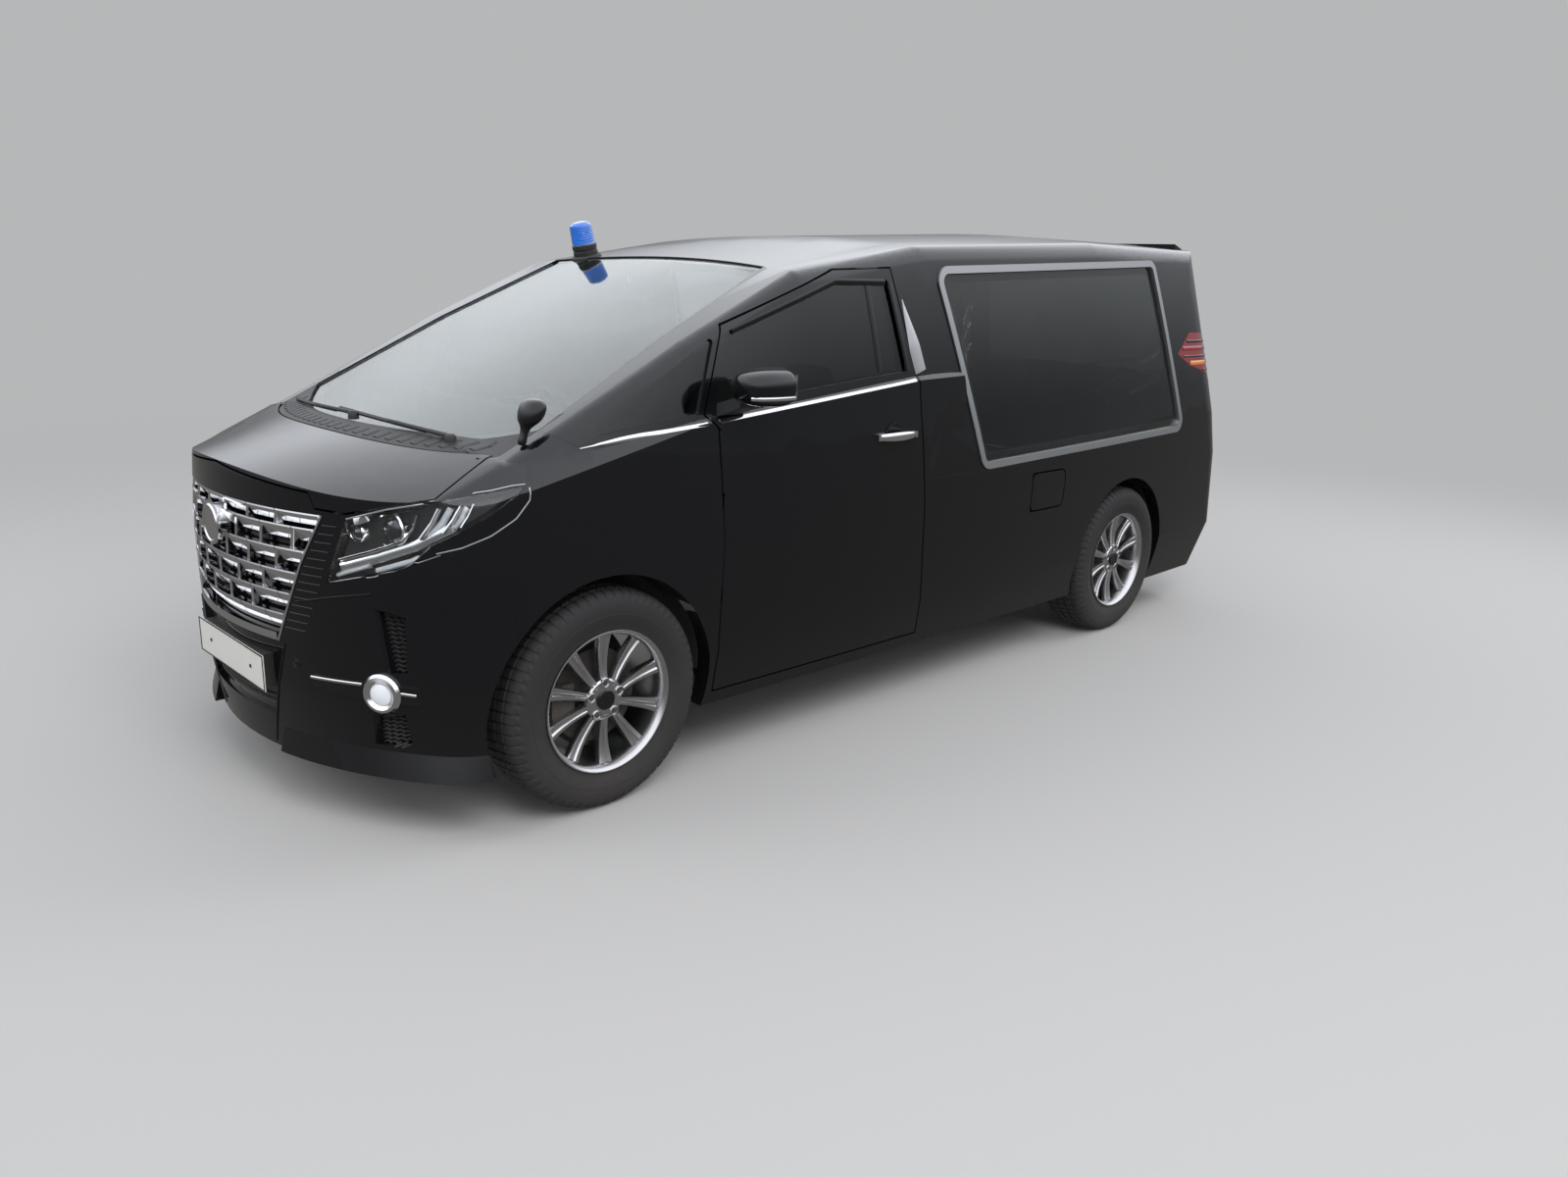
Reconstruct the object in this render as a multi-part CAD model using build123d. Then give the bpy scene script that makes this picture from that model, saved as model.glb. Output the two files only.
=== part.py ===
from build123d import *
import os
from math import cos, hypot, pi, radians, sin, sqrt

# Hearse: a tall people-carrier body rebuilt with one long load window in each side.
# Frame: +X forward, +Y to the vehicle's left, +Z up, millimetres.
# Origin on the ground, at the middle of the overall length.

# Driving dimensions
# Length between the reference planes ahead of the nose and behind the tail
LENGTH = 4910.0
NOSE_X = LENGTH / 2
TAIL_X = -LENGTH / 2
WHEELBASE = 3000.0
FRONT_OVERHANG = 855.0
FRONT_AXLE_X = NOSE_X - FRONT_OVERHANG
REAR_AXLE_X = FRONT_AXLE_X - WHEELBASE
TRACK = 1580.0
WHEEL_Y = TRACK / 2
HALF_WIDTH = 925.0
TYRE_R = 351.0
TYRE_WIDTH = 225.0
RIM_R = 226.0
ARCH_R = 400.0
LINER_T = 4.0
LINER_Y = WHEEL_Y - 320
KINGPIN_Y = WHEEL_Y - 55
STEER_DEG = 35.0

# Walls and gaps
LOWER_WALL = 60.0
UPPER_WALL = 46.0
BONNET_WALL = 30.0
# Hinges: the hinged edges of doors, tailgate and fuel flap are rounded about the pin
DOOR_HINGE = (1130, 880)
DOOR_EDGE_R = 42.0
DOOR_PIN_R = 8.0
DOOR_HINGE_Z = (620, 930)
DOOR_ARM_DEG = -56.3
GATE_HINGE_Z = 1815.0
GATE_HINGE_Y = 450.0
GATE_EDGE_R = 34.0
GATE_PIN_R = 7.0
BONNET_HINGE = (1915, 1095)
BONNET_PIN_R = 3.5
FLAP_HINGE = (-578, 912)
FLAP_EDGE_R = 16.0
FLAP_PIN_R = 3.0
PIN_CLEARANCE = 0.06
PANEL_GAP = 6.0
SEAM = 0.6
SEAT_GAP = 0.3
GLASS_T = 6.0
GLASS_INSET = 8.0
FLOOR_Z = 320.0
FLOOR_T = 40.0
FIREWALL_X = 1270.0
DECK_Z = 600.0
SILL_Z = 237.0

os.makedirs("parts", exist_ok=True)
NODES = {}


def keep(name, shape):
    """Names one node; all nodes are written at the end."""
    NODES[name] = shape


def mirrored(shape):
    return mirror(shape, about=Plane.XZ)


def both(shape):
    """The left piece and its mirror image as one compound."""
    return Compound(children=list(shape.solids()) + list(mirrored(shape).solids()))


# The tables below are drawn for the sizes above. When one of them changes, these
# carry a drawn x or y along with the nose, the axles, the tail and the width.
SHIFTS = [
    (-2400, TAIL_X + 2455),
    (-1850, REAR_AXLE_X + 1400),
    (-950, REAR_AXLE_X + 1400),
    (1150, FRONT_AXLE_X - 1600),
    (2050, FRONT_AXLE_X - 1600),
    (2400, NOSE_X - 2455),
]


def along(x):
    if x <= SHIFTS[0][0]:
        return x + SHIFTS[0][1]
    for (x0, d0), (x1, d1) in zip(SHIFTS, SHIFTS[1:]):
        if x <= x1:
            return x + d0 + (d1 - d0) * (x - x0) / (x1 - x0)
    return x + SHIFTS[-1][1]


def across(y):
    return y * HALF_WIDTH / 925


def at(x, y):
    return (along(x), across(y))


def side_prism(points, y0=0.0, y1=1300.0, grow=0.0, rounding=0.0):
    """Prism from a side-view outline of (x, z) points, between two y planes."""
    points = [(along(x), z) for x, z in points]
    y0, y1 = across(y0), across(y1)
    face = make_face(Polyline(*points, close=True))
    if rounding:
        face = fillet(face.vertices(), rounding)
    if grow:
        face = offset(face, amount=grow, kind=Kind.INTERSECTION)
    return extrude(Plane.XZ.offset(-y0) * face, amount=-(y1 - y0))


def front_prism(points, x0, x1, grow=0.0):
    """Prism from a front-view outline of (y, z) points, between two x planes."""
    points = [(across(y), z) for y, z in points]
    x0, x1 = along(x0), along(x1)
    face = make_face(Polyline(*points, close=True))
    if grow:
        face = offset(face, amount=grow, kind=Kind.INTERSECTION)
    return extrude(Plane.YZ.offset(x0) * face, amount=x1 - x0)


def top_prism(edges, z0, z1):
    """Prism from a plan-view outline of edges, between two heights."""
    return extrude(Plane.XY.offset(z0) * make_face(edges), amount=z1 - z0)


def box(x0, x1, y0, y1, z0, z1):
    return Pos((x0 + x1) / 2, (y0 + y1) / 2, (z0 + z1) / 2) * Box(x1 - x0, y1 - y0, z1 - z0)


def fit_box(x0, x1, y0, y1, z0, z1):
    """A box drawn for the sizes above, carried along with them."""
    return box(along(x0), along(x1), across(y0), across(y1), z0, z1)


def y_tube(r, y0, y1, x, z):
    return Pos(x, (y0 + y1) / 2, z) * Rot(90, 0, 0) * Cylinder(r, y1 - y0)


# Outline of the body seen from above, at rising heights.
# Columns: height, nose x, how far the nose bows back to its corner, half width at
# the nose corner, half width amidships, tail x, half width at the tail corner,
# nose corner radius, tail corner radius.
PLAN_LEVELS = [
    (190, NOSE_X - 95, 350, 850, 872, TAIL_X + 90, 840, 260, 110),
    (420, NOSE_X - 65, 375, 885, 912, TAIL_X + 8, 880, 320, 105),
    (800, NOSE_X - 60, 380, 897, 925, TAIL_X, 893, 340, 215),
    (1010, NOSE_X - 72, 400, 884, 914, TAIL_X + 18, 884, 330, 270),
    (1170, NOSE_X - 110, 400, 872, 897, TAIL_X + 45, 868, 320, 310),
    (1900, NOSE_X - 355, 380, 800, 830, TAIL_X + 230, 740, 300, 330),
]
TAIL_BOW = 40.0
SIDE_BOW_X = -150.0


def plan_outline(level, inset):
    z, nose, bow, half_nose, half, tail, half_tail, r_nose, r_tail = level
    half_nose, half, half_tail = across(half_nose), across(half), across(half_tail)
    nose_l = (nose - inset - bow, half_nose - inset)
    tail_l = (tail + inset + TAIL_BOW, half_tail - inset)
    side_l = (SIDE_BOW_X, half - inset)
    face = make_face([
        ThreePointArc((nose_l[0], -nose_l[1]), (nose - inset, 0), nose_l),
        ThreePointArc(nose_l, side_l, tail_l),
        ThreePointArc(tail_l, (tail + inset, 0), (tail_l[0], -tail_l[1])),
        ThreePointArc((tail_l[0], -tail_l[1]), (side_l[0], -side_l[1]), (nose_l[0], -nose_l[1])),
    ])
    face = fillet([v for v in face.vertices() if v.X > 0], r_nose - inset)
    rear = [v for v in face.vertices() if abs(v.X - tail_l[0]) < 1]
    face = fillet(rear, r_tail - inset * 0.9)
    return Pos(0, 0, z) * face


def level_at(z):
    """The plan outline's values at a height between two levels."""
    for low, high in zip(PLAN_LEVELS, PLAN_LEVELS[1:]):
        if z <= high[0]:
            part = (z - low[0]) / (high[0] - low[0])
            return tuple(a + (b - a) * part for a, b in zip(low, high))
    return PLAN_LEVELS[-1]


def plan_envelope(inset):
    return loft([plan_outline(level, inset) for level in PLAN_LEVELS], ruled=True)


# Cabin cross-sections, from the windscreen's foot to the tail.
# Columns: station x, crown height, height and half width of the roof edge
# before rounding, half width at the base, rounding radius.
CABIN_BASE_Z = 840.0
CABIN_STATIONS = [
    (2080, 1036, 998, 800, 850, 50),
    (1680, 1228, 1196, 812, 895, 52),
    (1250, 1438, 1416, 815, 915, 55),
    (755, 1664, 1638, 800, 920, 60),
    (100, 1776, 1742, 790, 923, 70),
    (-1100, 1838, 1798, 784, 924, 80),
    (-2600, 1846, 1798, 760, 912, 80),
]
SIDE_BARREL = 12.0


def cabin_section(station, inset):
    x, crown, z_edge, y_edge, y_base, r = station
    x, y_edge, y_base = along(x), across(y_edge), across(y_base)
    edge = (y_edge - inset, z_edge - inset)
    base = (y_base - inset, CABIN_BASE_Z)
    mid = ((edge[0] + base[0]) / 2 + SIDE_BARREL, (edge[1] + base[1]) / 2)
    face = make_face([
        ThreePointArc((-edge[0], edge[1]), (0, crown - inset), edge),
        ThreePointArc(edge, mid, base),
        Line(base, (-base[0], base[1])),
        ThreePointArc((-base[0], base[1]), (-mid[0], mid[1]), (-edge[0], edge[1])),
    ])
    face = fillet([v for v in face.vertices() if v.Y > CABIN_BASE_Z + 1], r - inset * 0.8)
    return Plane.YZ.offset(x) * face


def cabin_envelope(inset):
    return loft([cabin_section(s, inset) for s in CABIN_STATIONS], ruled=True)


# Bonnet, wing tops and the doors' shoulder: an arc across the body whose ends
# turn down at the shoulder line.
# Columns: station x, crown height, shoulder half width, shoulder height.
SHOULDER_STATIONS = [
    (2620, 968, 780, 740),
    (2390, 1038, 780, 862),
    (2270, 1068, 780, 918),
    (2100, 1112, 785, 1002),
    (1900, 1162, 800, 1094),
    (1240, 1270, 866, 1188),
    (200, 1380, 866, 1286),
    (-320, 1420, 858, 1308),
]
SHOULDER_FALL = (150, 130)
SHOULDER_R = 60.0
SHOULDER_FADE = [(150, 917), (-330, 860), (-330, 1200), (150, 1200)]
REAR_BLOCK_Z = 900.0


def shoulder_block(inset):
    faces = []
    for x, crown, y_edge, z_edge in SHOULDER_STATIONS:
        x, y, z = along(x), across(y_edge) - inset * 0.4, z_edge - inset
        foot = (y + SHOULDER_FALL[0], z - SHOULDER_FALL[1])
        face = make_face([
            ThreePointArc((-y, z), (0, crown - inset), (y, z)),
            Polyline((y, z), foot, (foot[0] + 90, 100), (-foot[0] - 90, 100), (-foot[0], foot[1]), (-y, z)),
        ])
        edges = [v for v in face.vertices() if abs(v.Y - z) < 1 and abs(abs(v.X) - y) < 1]
        faces.append(Plane.YZ.offset(x) * fillet(edges, SHOULDER_R))
    block = loft(faces, ruled=True)
    for side in (1, -1):
        fade = make_face(Polyline(*[at(x, side * y) for x, y in SHOULDER_FADE], close=True))
        block -= extrude(Plane.XY.offset(50) * fade, amount=1500)
    return block + fit_box(-2700, 160, -1100, 1100, 100, REAR_BLOCK_Z - inset)


def envelope(lower, upper, top):
    return plan_envelope(lower) & (cabin_envelope(upper) + shoulder_block(top))


OUTER = envelope(0, 0, 0)
INNER = envelope(LOWER_WALL, UPPER_WALL, BONNET_WALL)
GLASS_OUT = cabin_envelope(GLASS_INSET) & plan_envelope(GLASS_INSET)
GLASS_IN = cabin_envelope(GLASS_INSET + GLASS_T) & plan_envelope(GLASS_INSET + GLASS_T)
SHELL = OUTER - INNER
GLASS = GLASS_OUT - GLASS_IN
print("shell", SHELL.is_valid, len(SHELL.solids()), SHELL.volume / 1e9)

for axle in (FRONT_AXLE_X, REAR_AXLE_X):
    SHELL -= y_tube(ARCH_R, -1200, 1200, axle, TYRE_R)
SHELL -= box(REAR_AXLE_X + 300, FRONT_AXLE_X - 300, -1200, 1200, 0, SILL_Z)
LEFT = SHELL & box(-3000, 3000, 0, 1200, 0, 2200)



def sector(r, first, last):
    """A pie slice of points about (0, 0), from one angle to another in degrees."""
    angles = [first + (last - first) * i / 5 for i in range(6)]
    return [(0, 0)] + [(r * cos(radians(a)), r * sin(radians(a))) for a in angles]


def upright_slot(r, knuckle, first, last, z0, z1):
    """Room that an arm sweeps about an upright pin."""
    face = make_face(Polyline(*sector(r, first, last), close=True))
    return extrude(Plane.XY.offset(z0) * face, amount=z1 - z0) + Pos(0, 0, (z0 + z1) / 2) * Cylinder(knuckle, z1 - z0)


def level_slot(r, knuckle, first, last, y0, y1):
    """Room that an arm sweeps about a pin along y."""
    face = make_face(Polyline(*sector(r, first, last), close=True))
    return extrude(Plane.XZ.offset(-y0) * face, amount=-(y1 - y0)) + y_tube(knuckle, y0, y1, 0, 0)


# Outlines in side view, as (x, z)
DOOR = [(126, 285), (1157, 285), (1163, 1150), (1212, 1200), (1104, 1466), (588, 1646), (300, 1660), (196, 1279)]
DOOR_GLASS = [(1178, 1222), (1078, 1452), (586, 1622), (318, 1622), (240, 1302)]
QUARTER = [(1640, 1152), (1236, 1206), (1140, 1440)]
LOAD_WINDOW = [(54, 1674), (-1611, 1746), (-1884, 944), (-206, 902)]
WING_SEAM = [(1160, 100), (1166, 1166), (1216, 1186), (1672, 1132), (1760, 1180), (1900, 1330), (2700, 1330), (2700, 100)]
BUMPER = [(1850, 100), (1927, 730), (2095, 880), (2150, 945), (2235, 960), (2235, 1100), (2700, 1100), (2700, 100)]
LAMP_SIDE = [(1855, 1050), (2000, 1100), (2600, 1100), (2600, 600), (2200, 760), (2104, 889)]
REAR_BUMPER = [(-1760, 100), (-1790, 560), (-2100, 640), (-2700, 640), (-2700, 100)]
TAIL_LAMP = [(-1830, 1314), (-1955, 1414), (-2700, 1404), (-2700, 1107), (-2289, 1107), (-2150, 1215), (-1955, 1259)]
FUEL_FLAP = [(-566, 693), (-566, 850), (-812, 850), (-812, 693)]
# Outlines in front view, as (y, z)
LAMP_FRONT = [(566, 944), (511, 757), (700, 812), (838, 884), (1000, 884), (1000, 1049), (890, 1049), (842, 1030), (773, 1004)]
GRILLE = [(-500, 944), (500, 944), (312, 550), (-312, 550)]
BONNET_EDGE = [(0, 1040), (450, 1006), (472, 964), (566, 960), (773, 1016), (900, 1060)]
TAILGATE = [(-640, 2000), (640, 2000), (655, 1700), (700, 1150), (690, 645), (-690, 645), (-700, 1150), (-655, 1700)]
TAILGATE_FRONT_X = -2140.0
SPOILER = [(-2142, 1838), (-2300, 1792), (-2292, 1768), (-2225, 1776), (-2142, 1800)]
SPOILER_HALF = 610.0
# Grille bars: heights of the rows' lower edges, then sizes.
GRILLE_TOP = 944.0
GRILLE_FOOT = 550.0
ROW_PITCH = 66.0
GRILLE_ROWS = [878 - i * ROW_PITCH for i in range(5)]
BAR_T = 24.0
LINK_PITCH = 130.0
LINK_T = 16.0
GRILLE_BAR_DEPTH = 34.0
# The bare disc in the middle of the grille
GRILLE_X = NOSE_X - 60
EMBLEM_Z = 850.0
EMBLEM_R = 62.0
EMBLEM_PROUD = 17.0
# Fog lamps, each with a bright bar beside it
FOG_Y = 653.0
FOG_Z = 450.0
FOG_R = 52.0
FOG_BAR = [(430, 440), (430, 470), (600, 478), (745, 478), (745, 425), (600, 425)]
TRIM_PROUD = 6.0
# Pockets sunk into the bumper: the mouth about the plate, and two vents a side
MOUTH = [(-332, 546), (332, 546), (297, 440), (240, 304), (-240, 304), (-297, 440)]
VENTS = [[(640, 700), (722, 684), (716, 518), (664, 514)], [(612, 384), (700, 392), (704, 292), (600, 284)]]
POCKET_DEPTH = 22.0
# The splitter under each front corner: its foot and top heights, how far it stands out
SPLITTER_Z = (192, 268)
SPLITTER_PROUD = 28.0
SPLITTER_Y = 270.0
# Outlines in plan view
SCREEN_SIDE = [(745, 622), (1738, 742)]
SCREEN_TOP_X = 692.0
SCREEN_FOOT_X = 1985.0
BONNET_CORNER = (1884, 726)
BONNET_REAR_X = 2075.0
BONNET_LAMP = (2125, 776)
ROOF_SEAM_Y = 655.0

def screen_plan(grow):
    (top_x, top_y), (foot_x, foot_y) = at(*SCREEN_SIDE[0]), at(*SCREEN_SIDE[1])
    top, foot = (top_x - grow, top_y + grow), (foot_x + grow, foot_y + grow)
    return [
        ThreePointArc((top[0], -top[1]), (along(SCREEN_TOP_X) - grow, 0), top),
        Line(top, foot),
        ThreePointArc(foot, (along(SCREEN_FOOT_X) + grow, 0), (foot[0], -foot[1])),
        Line((foot[0], -foot[1]), (top[0], -top[1])),
    ]


def bonnet_plan(grow):
    (rear_x, rear_y), (lamp_x, lamp_y) = at(*BONNET_CORNER), at(*BONNET_LAMP)
    corner, lamp = (rear_x - grow, rear_y + grow), (lamp_x, lamp_y + grow)
    far = NOSE_X + 150
    return [
        ThreePointArc((corner[0], -corner[1]), (along(BONNET_REAR_X) - grow, 0), corner),
        Polyline(corner, lamp, (far, lamp[1]), (far, -lamp[1]), (lamp[0], -lamp[1]), (corner[0], -corner[1])),
    ]


def bonnet_front(drop):
    """The bonnet's lower edge in front view, with all that lies above it."""
    right = [(y, z - drop) for y, z in BONNET_EDGE]
    left = [(-y, z) for y, z in right[:0:-1]]
    return front_prism(left + right + [(900, 1500), (-900, 1500)], 1500, 2700)


def cowl_plan(grow):
    back, front, y = along(1650) - grow, along(1890) + grow, across(744) + grow
    return [
        ThreePointArc((back, -y), (along(SCREEN_FOOT_X - 90), 0), (back, y)),
        Line((back, y), (front, y)),
        ThreePointArc((front, y), (along(BONNET_REAR_X + 30), 0), (front, -y)),
        Line((front, -y), (back, -y)),
    ]


bonnet_zone = top_prism(bonnet_plan(0), 900, 1400) & bonnet_front(0)
bonnet_cut = top_prism(bonnet_plan(PANEL_GAP), 900, 1400) & bonnet_front(PANEL_GAP)
screen_zone = top_prism(screen_plan(0), 950, 2000)
screen_cut = top_prism(screen_plan(SEAM), 950, 2000)
cowl_zone = top_prism(cowl_plan(0), 950, 1400) - screen_cut - bonnet_cut
cowl_cut = top_prism(cowl_plan(SEAM), 950, 1400)
grille_zone = front_prism(GRILLE, 2200, 2600)
grille_cut = front_prism(GRILLE, 2200, 2600, SEAM)
lamp_zone = side_prism(LAMP_SIDE, 400) & front_prism(LAMP_FRONT, 1700, 2600)
lamp_cut = side_prism(LAMP_SIDE, 400, grow=SEAM) & front_prism(LAMP_FRONT, 1700, 2600, grow=SEAM)
gate_x = along(TAILGATE_FRONT_X)


def gate_zone(grow):
    """The tailgate's zone, with its front edge rounded about the hinge pins."""
    front = box(gate_x + grow, gate_x + 80, -1100, 1100, 0, 2100)
    front -= y_tube(GATE_EDGE_R + grow, -1200, 1200, gate_x, GATE_HINGE_Z)
    return front_prism(TAILGATE, -2700, TAILGATE_FRONT_X + 60, grow=grow) - front


tailgate_zone = gate_zone(0)
tailgate_cut = gate_zone(PANEL_GAP)
roof_zone = fit_box(-2700, 1500, -ROOF_SEAM_Y, ROOF_SEAM_Y, 1500, 2000)
roof_cut = fit_box(-2700, 1500, -ROOF_SEAM_Y - SEAM, ROOF_SEAM_Y + SEAM, 1500, 2000)
print("zones")

# The door's front edge is rounded about its hinge pin.
hinge_at = at(*DOOR_HINGE)
door_edge = Pos(hinge_at[0], hinge_at[1], 717.5) * Cylinder(DOOR_EDGE_R, 865)
door_edge_zone = box(hinge_at[0], hinge_at[0] + 150, across(700), across(1000), 200, 1150)
door_zone = (side_prism(DOOR, 700) - door_edge_zone) + (door_edge & door_edge_zone)
door_cut = side_prism(DOOR, 700, grow=PANEL_GAP) + Pos(hinge_at[0], hinge_at[1], 717.5) * Cylinder(DOOR_EDGE_R + PANEL_GAP, 877)

# Bonnet, cowl, wings, bumper, lamps and grille
lamp_gap = side_prism(LAMP_SIDE, 400, grow=PANEL_GAP) & front_prism(LAMP_FRONT, 1700, 2600, grow=PANEL_GAP)
bonnet = (SHELL & bonnet_zone) - lamp_gap - mirrored(lamp_gap)
bonnet = max(bonnet.solids(), key=lambda item: item.volume)
hinge_x, hinge_z = along(BONNET_HINGE[0]), BONNET_HINGE[1]
for side in (1, -1):
    y0, y1 = sorted((side * across(697), side * across(715)))
    bonnet -= Pos(hinge_x, 0, hinge_z) * level_slot(40, 7.5, -184, -38, y0, y1)
    y0, y1 = sorted((side * across(690), side * across(722)))
    bonnet -= y_tube(BONNET_PIN_R + PIN_CLEARANCE, y0, y1, hinge_x, hinge_z)
keep("bonnet", max(bonnet.solids(), key=lambda item: item.volume))
hinge = y_tube(BONNET_PIN_R, across(691), across(721), hinge_x, hinge_z) + y_tube(4.8, across(700), across(712), hinge_x, hinge_z)
hinge += box(hinge_x - 4.5, hinge_x + 4.5, across(700), across(712), 1032, hinge_z)
hinge += box(hinge_x - 15, hinge_x + 15, across(700), across(736), 1032, 1048)
hinge += box(hinge_x - 15, hinge_x + 15, across(735), across(800), 1032, 1100) & INNER
hinges = both(hinge).solids()
# The cowl is relieved where the bonnet's rear corners swing back over it
cowl = SHELL & cowl_zone & fit_box(1500, 2300, -800, 800, 1000, 1400)
corner = top_prism(bonnet_plan(PANEL_GAP), 1060, 1400) & OUTER & fit_box(1850, 1985, 570, 760, 1000, 1400)
for angle in (10, 20, 30, 40, 50):
    swung = corner.rotate(Axis((hinge_x, 0, hinge_z), (0, -1, 0)), angle)
    cowl -= swung
    cowl -= mirrored(swung)
keep("cowl", max(cowl.solids(), key=lambda item: item.volume))
grille = SHELL & grille_zone
grille_face = grille - plan_envelope(GRILLE_BAR_DEPTH)
bars = fit_box(2200, 2600, -600, 600, GRILLE_TOP - BAR_T, GRILLE_TOP) + fit_box(2200, 2600, -600, 600, GRILLE_FOOT, GRILLE_FOOT + BAR_T)
for i, row_z in enumerate(GRILLE_ROWS):
    bars += fit_box(2200, 2600, -600, 600, row_z, row_z + BAR_T)
    for k in range(-3, 4):
        y = (k + (0.5 if i % 2 else 0.0)) * LINK_PITCH
        bars += fit_box(2200, 2600, y - LINK_T / 2, y + LINK_T / 2, row_z, row_z + ROW_PITCH)
for side in (1, -1):
    post = [(side * 500, 944), (side * 484, 944), (side * 296, 550), (side * 312, 550)]
    bars += front_prism(post, 2200, 2600)
emblem = Pos(GRILLE_X + (EMBLEM_PROUD - GRILLE_BAR_DEPTH) / 2, 0, EMBLEM_Z) * Rot(0, 90, 0)
emblem *= Cylinder(EMBLEM_R, EMBLEM_PROUD + GRILLE_BAR_DEPTH)
grille_bars = (grille_face & bars) + emblem
keep("grille_bars", grille_bars)
keep("grille", grille - grille_face)
keep("headlamps", both(LEFT & lamp_zone))
front_left = LEFT & side_prism(WING_SEAM)
bumper_left = (front_left & side_prism(BUMPER)) - lamp_cut - grille_cut - bonnet_cut
wing_left = front_left - side_prism(BUMPER, grow=SEAM) - lamp_cut - grille_cut - bonnet_cut - cowl_cut - screen_cut
wing_left = wing_left & fit_box(1000, 2600, 500, 1200, 0, 1400)
wing_left -= door_cut
keep("front_wings", both(max(wing_left.solids(), key=lambda item: item.volume)))
trim_ring = plan_envelope(-TRIM_PROUD) - plan_envelope(14)
fog_zone = front_prism(FOG_BAR, 1900, 2600) + Pos(NOSE_X - 155, across(FOG_Y), FOG_Z) * Rot(0, 90, 0) * Cylinder(FOG_R, 700)
fog = trim_ring & fog_zone & fit_box(1950, 2600, 300, 900, 300, 600)
fog = max(fog.solids(), key=lambda item: item.volume)
keep("fog_lamps", both(fog))
bumper_left -= fog_zone & plan_envelope(-20) - plan_envelope(14)
pocket_skin = OUTER - plan_envelope(POCKET_DEPTH)
bumper_left -= front_prism(MOUTH, 2100, 2700) & pocket_skin
for vent in VENTS:
    bumper_left -= front_prism(vent, 1900, 2700) & pocket_skin
foot, top = SPLITTER_Z
splitter = loft([plan_outline(level_at(foot), -SPLITTER_PROUD), plan_outline(level_at(top), -1.0)], ruled=True)
splitter = (splitter & fit_box(1990, 2700, SPLITTER_Y, 1200, 100, 400)) - plan_envelope(20)
bumper_left += splitter
bumper = bumper_left + mirrored(bumper_left)
keep("front_bumper", bumper)
print("front")

# Rear bumper, tail lamps and tailgate
rear_bumper = SHELL & side_prism(REAR_BUMPER, -1200, 1200)
for y in (-500, 500):
    rear_bumper += Pos(TAIL_X + 32, across(y), 640 + (5 - SEAT_GAP) / 2 - 1) * Cylinder(10, 5 - SEAT_GAP + 2)
keep("rear_bumper", rear_bumper)
keep("tail_lamps", both((LEFT & side_prism(TAIL_LAMP, 690)) - tailgate_cut))
TAIL_WINDOW = [(-590, 1690), (590, 1690), (640, 1190), (-640, 1190)]
tailgate = SHELL & tailgate_zone
tail_window = front_prism(TAIL_WINDOW, -2700, -2150)
spoiler = side_prism(SPOILER, -SPOILER_HALF, SPOILER_HALF)
tailgate = tailgate - tail_window + (spoiler - INNER)
y = across(GATE_HINGE_Y)
slot = Pos(gate_x, 0, GATE_HINGE_Z) * level_slot(44, 16, -92, 44, y - 22, y + 22)
slot += y_tube(GATE_PIN_R + PIN_CLEARANCE, y - 36, y + 36, gate_x, GATE_HINGE_Z)
half_gate = (tailgate & box(TAIL_X - 200, gate_x + 100, 0, 1200, 0, 2200)) - slot
tailgate = half_gate + mirrored(half_gate)
hinge = y_tube(GATE_PIN_R, y - 35, y + 35, gate_x, GATE_HINGE_Z) + y_tube(10, y - 18, y + 18, gate_x, GATE_HINGE_Z)
gate_arm = Pos(gate_x, y, GATE_HINGE_Z) * Rot(0, 65, 0)
hinge += gate_arm * (Pos(33, 0, 0) * Box(66, 36, 10))
arm_notch = gate_arm * (Pos(33, 0, 0) * Box(66, 38, 14))
hinge += box(gate_x + 28, gate_x + 100, y - 18, y + 18, 1748, 1810) & INNER
keep("tailgate", tailgate)
hinges += both(hinge).solids()
keep("tailgate_glass", GLASS & fit_box(-2700, -2100, -900, 900, 1000, 1900) & tail_window)
print("rear")

# Side panel, door and glass
door = LEFT & door_zone
door_hinge = box(hinge_at[0] + 56, along(FIREWALL_X) - 20, across(790), across(900), 580, 1000) & INNER
for z in DOOR_HINGE_Z:
    here = Pos(hinge_at[0], hinge_at[1], 0)
    door -= here * upright_slot(56, 15, -90, 40, z - 24, z + 24)
    door -= here * Pos(0, 0, z) * Cylinder(DOOR_PIN_R + PIN_CLEARANCE, 92)
    door_hinge += here * Pos(0, 0, z) * Cylinder(DOOR_PIN_R, 90) + here * Pos(0, 0, z) * Cylinder(12, 40)
    door_hinge += here * Rot(0, 0, DOOR_ARM_DEG) * (Pos(54, 0, z) * Box(108, 12, 40))
keep("hinges", Compound(children=hinges + both(door_hinge).solids()))
door_window = side_prism(DOOR_GLASS, 700, rounding=14)
keep("door_left", door - door_window)
keep("door_glass_left", GLASS & side_prism(DOOR_GLASS, 700, rounding=14))
quarter_zone = side_prism(QUARTER, 600, rounding=10)
load_zone = side_prism(LOAD_WINDOW, 600, rounding=60)
load_inner = side_prism(LOAD_WINDOW, 600, grow=-28, rounding=60)
flap_zone = side_prism(FUEL_FLAP, 902, rounding=28)
flap_cut = side_prism(FUEL_FLAP, 880, grow=PANEL_GAP, rounding=28)
flap_at = at(*FLAP_HINGE)
flap_edge = box(flap_at[0], flap_at[0] + 50, across(890), across(960), 600, 900)
flap_zone -= flap_edge - Pos(flap_at[0], flap_at[1], 771.5) * Cylinder(FLAP_EDGE_R, 400)
flap_pins = [Pos(flap_at[0], flap_at[1], z) * Cylinder(FLAP_PIN_R, 40) for z in (700, 843)]
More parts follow.
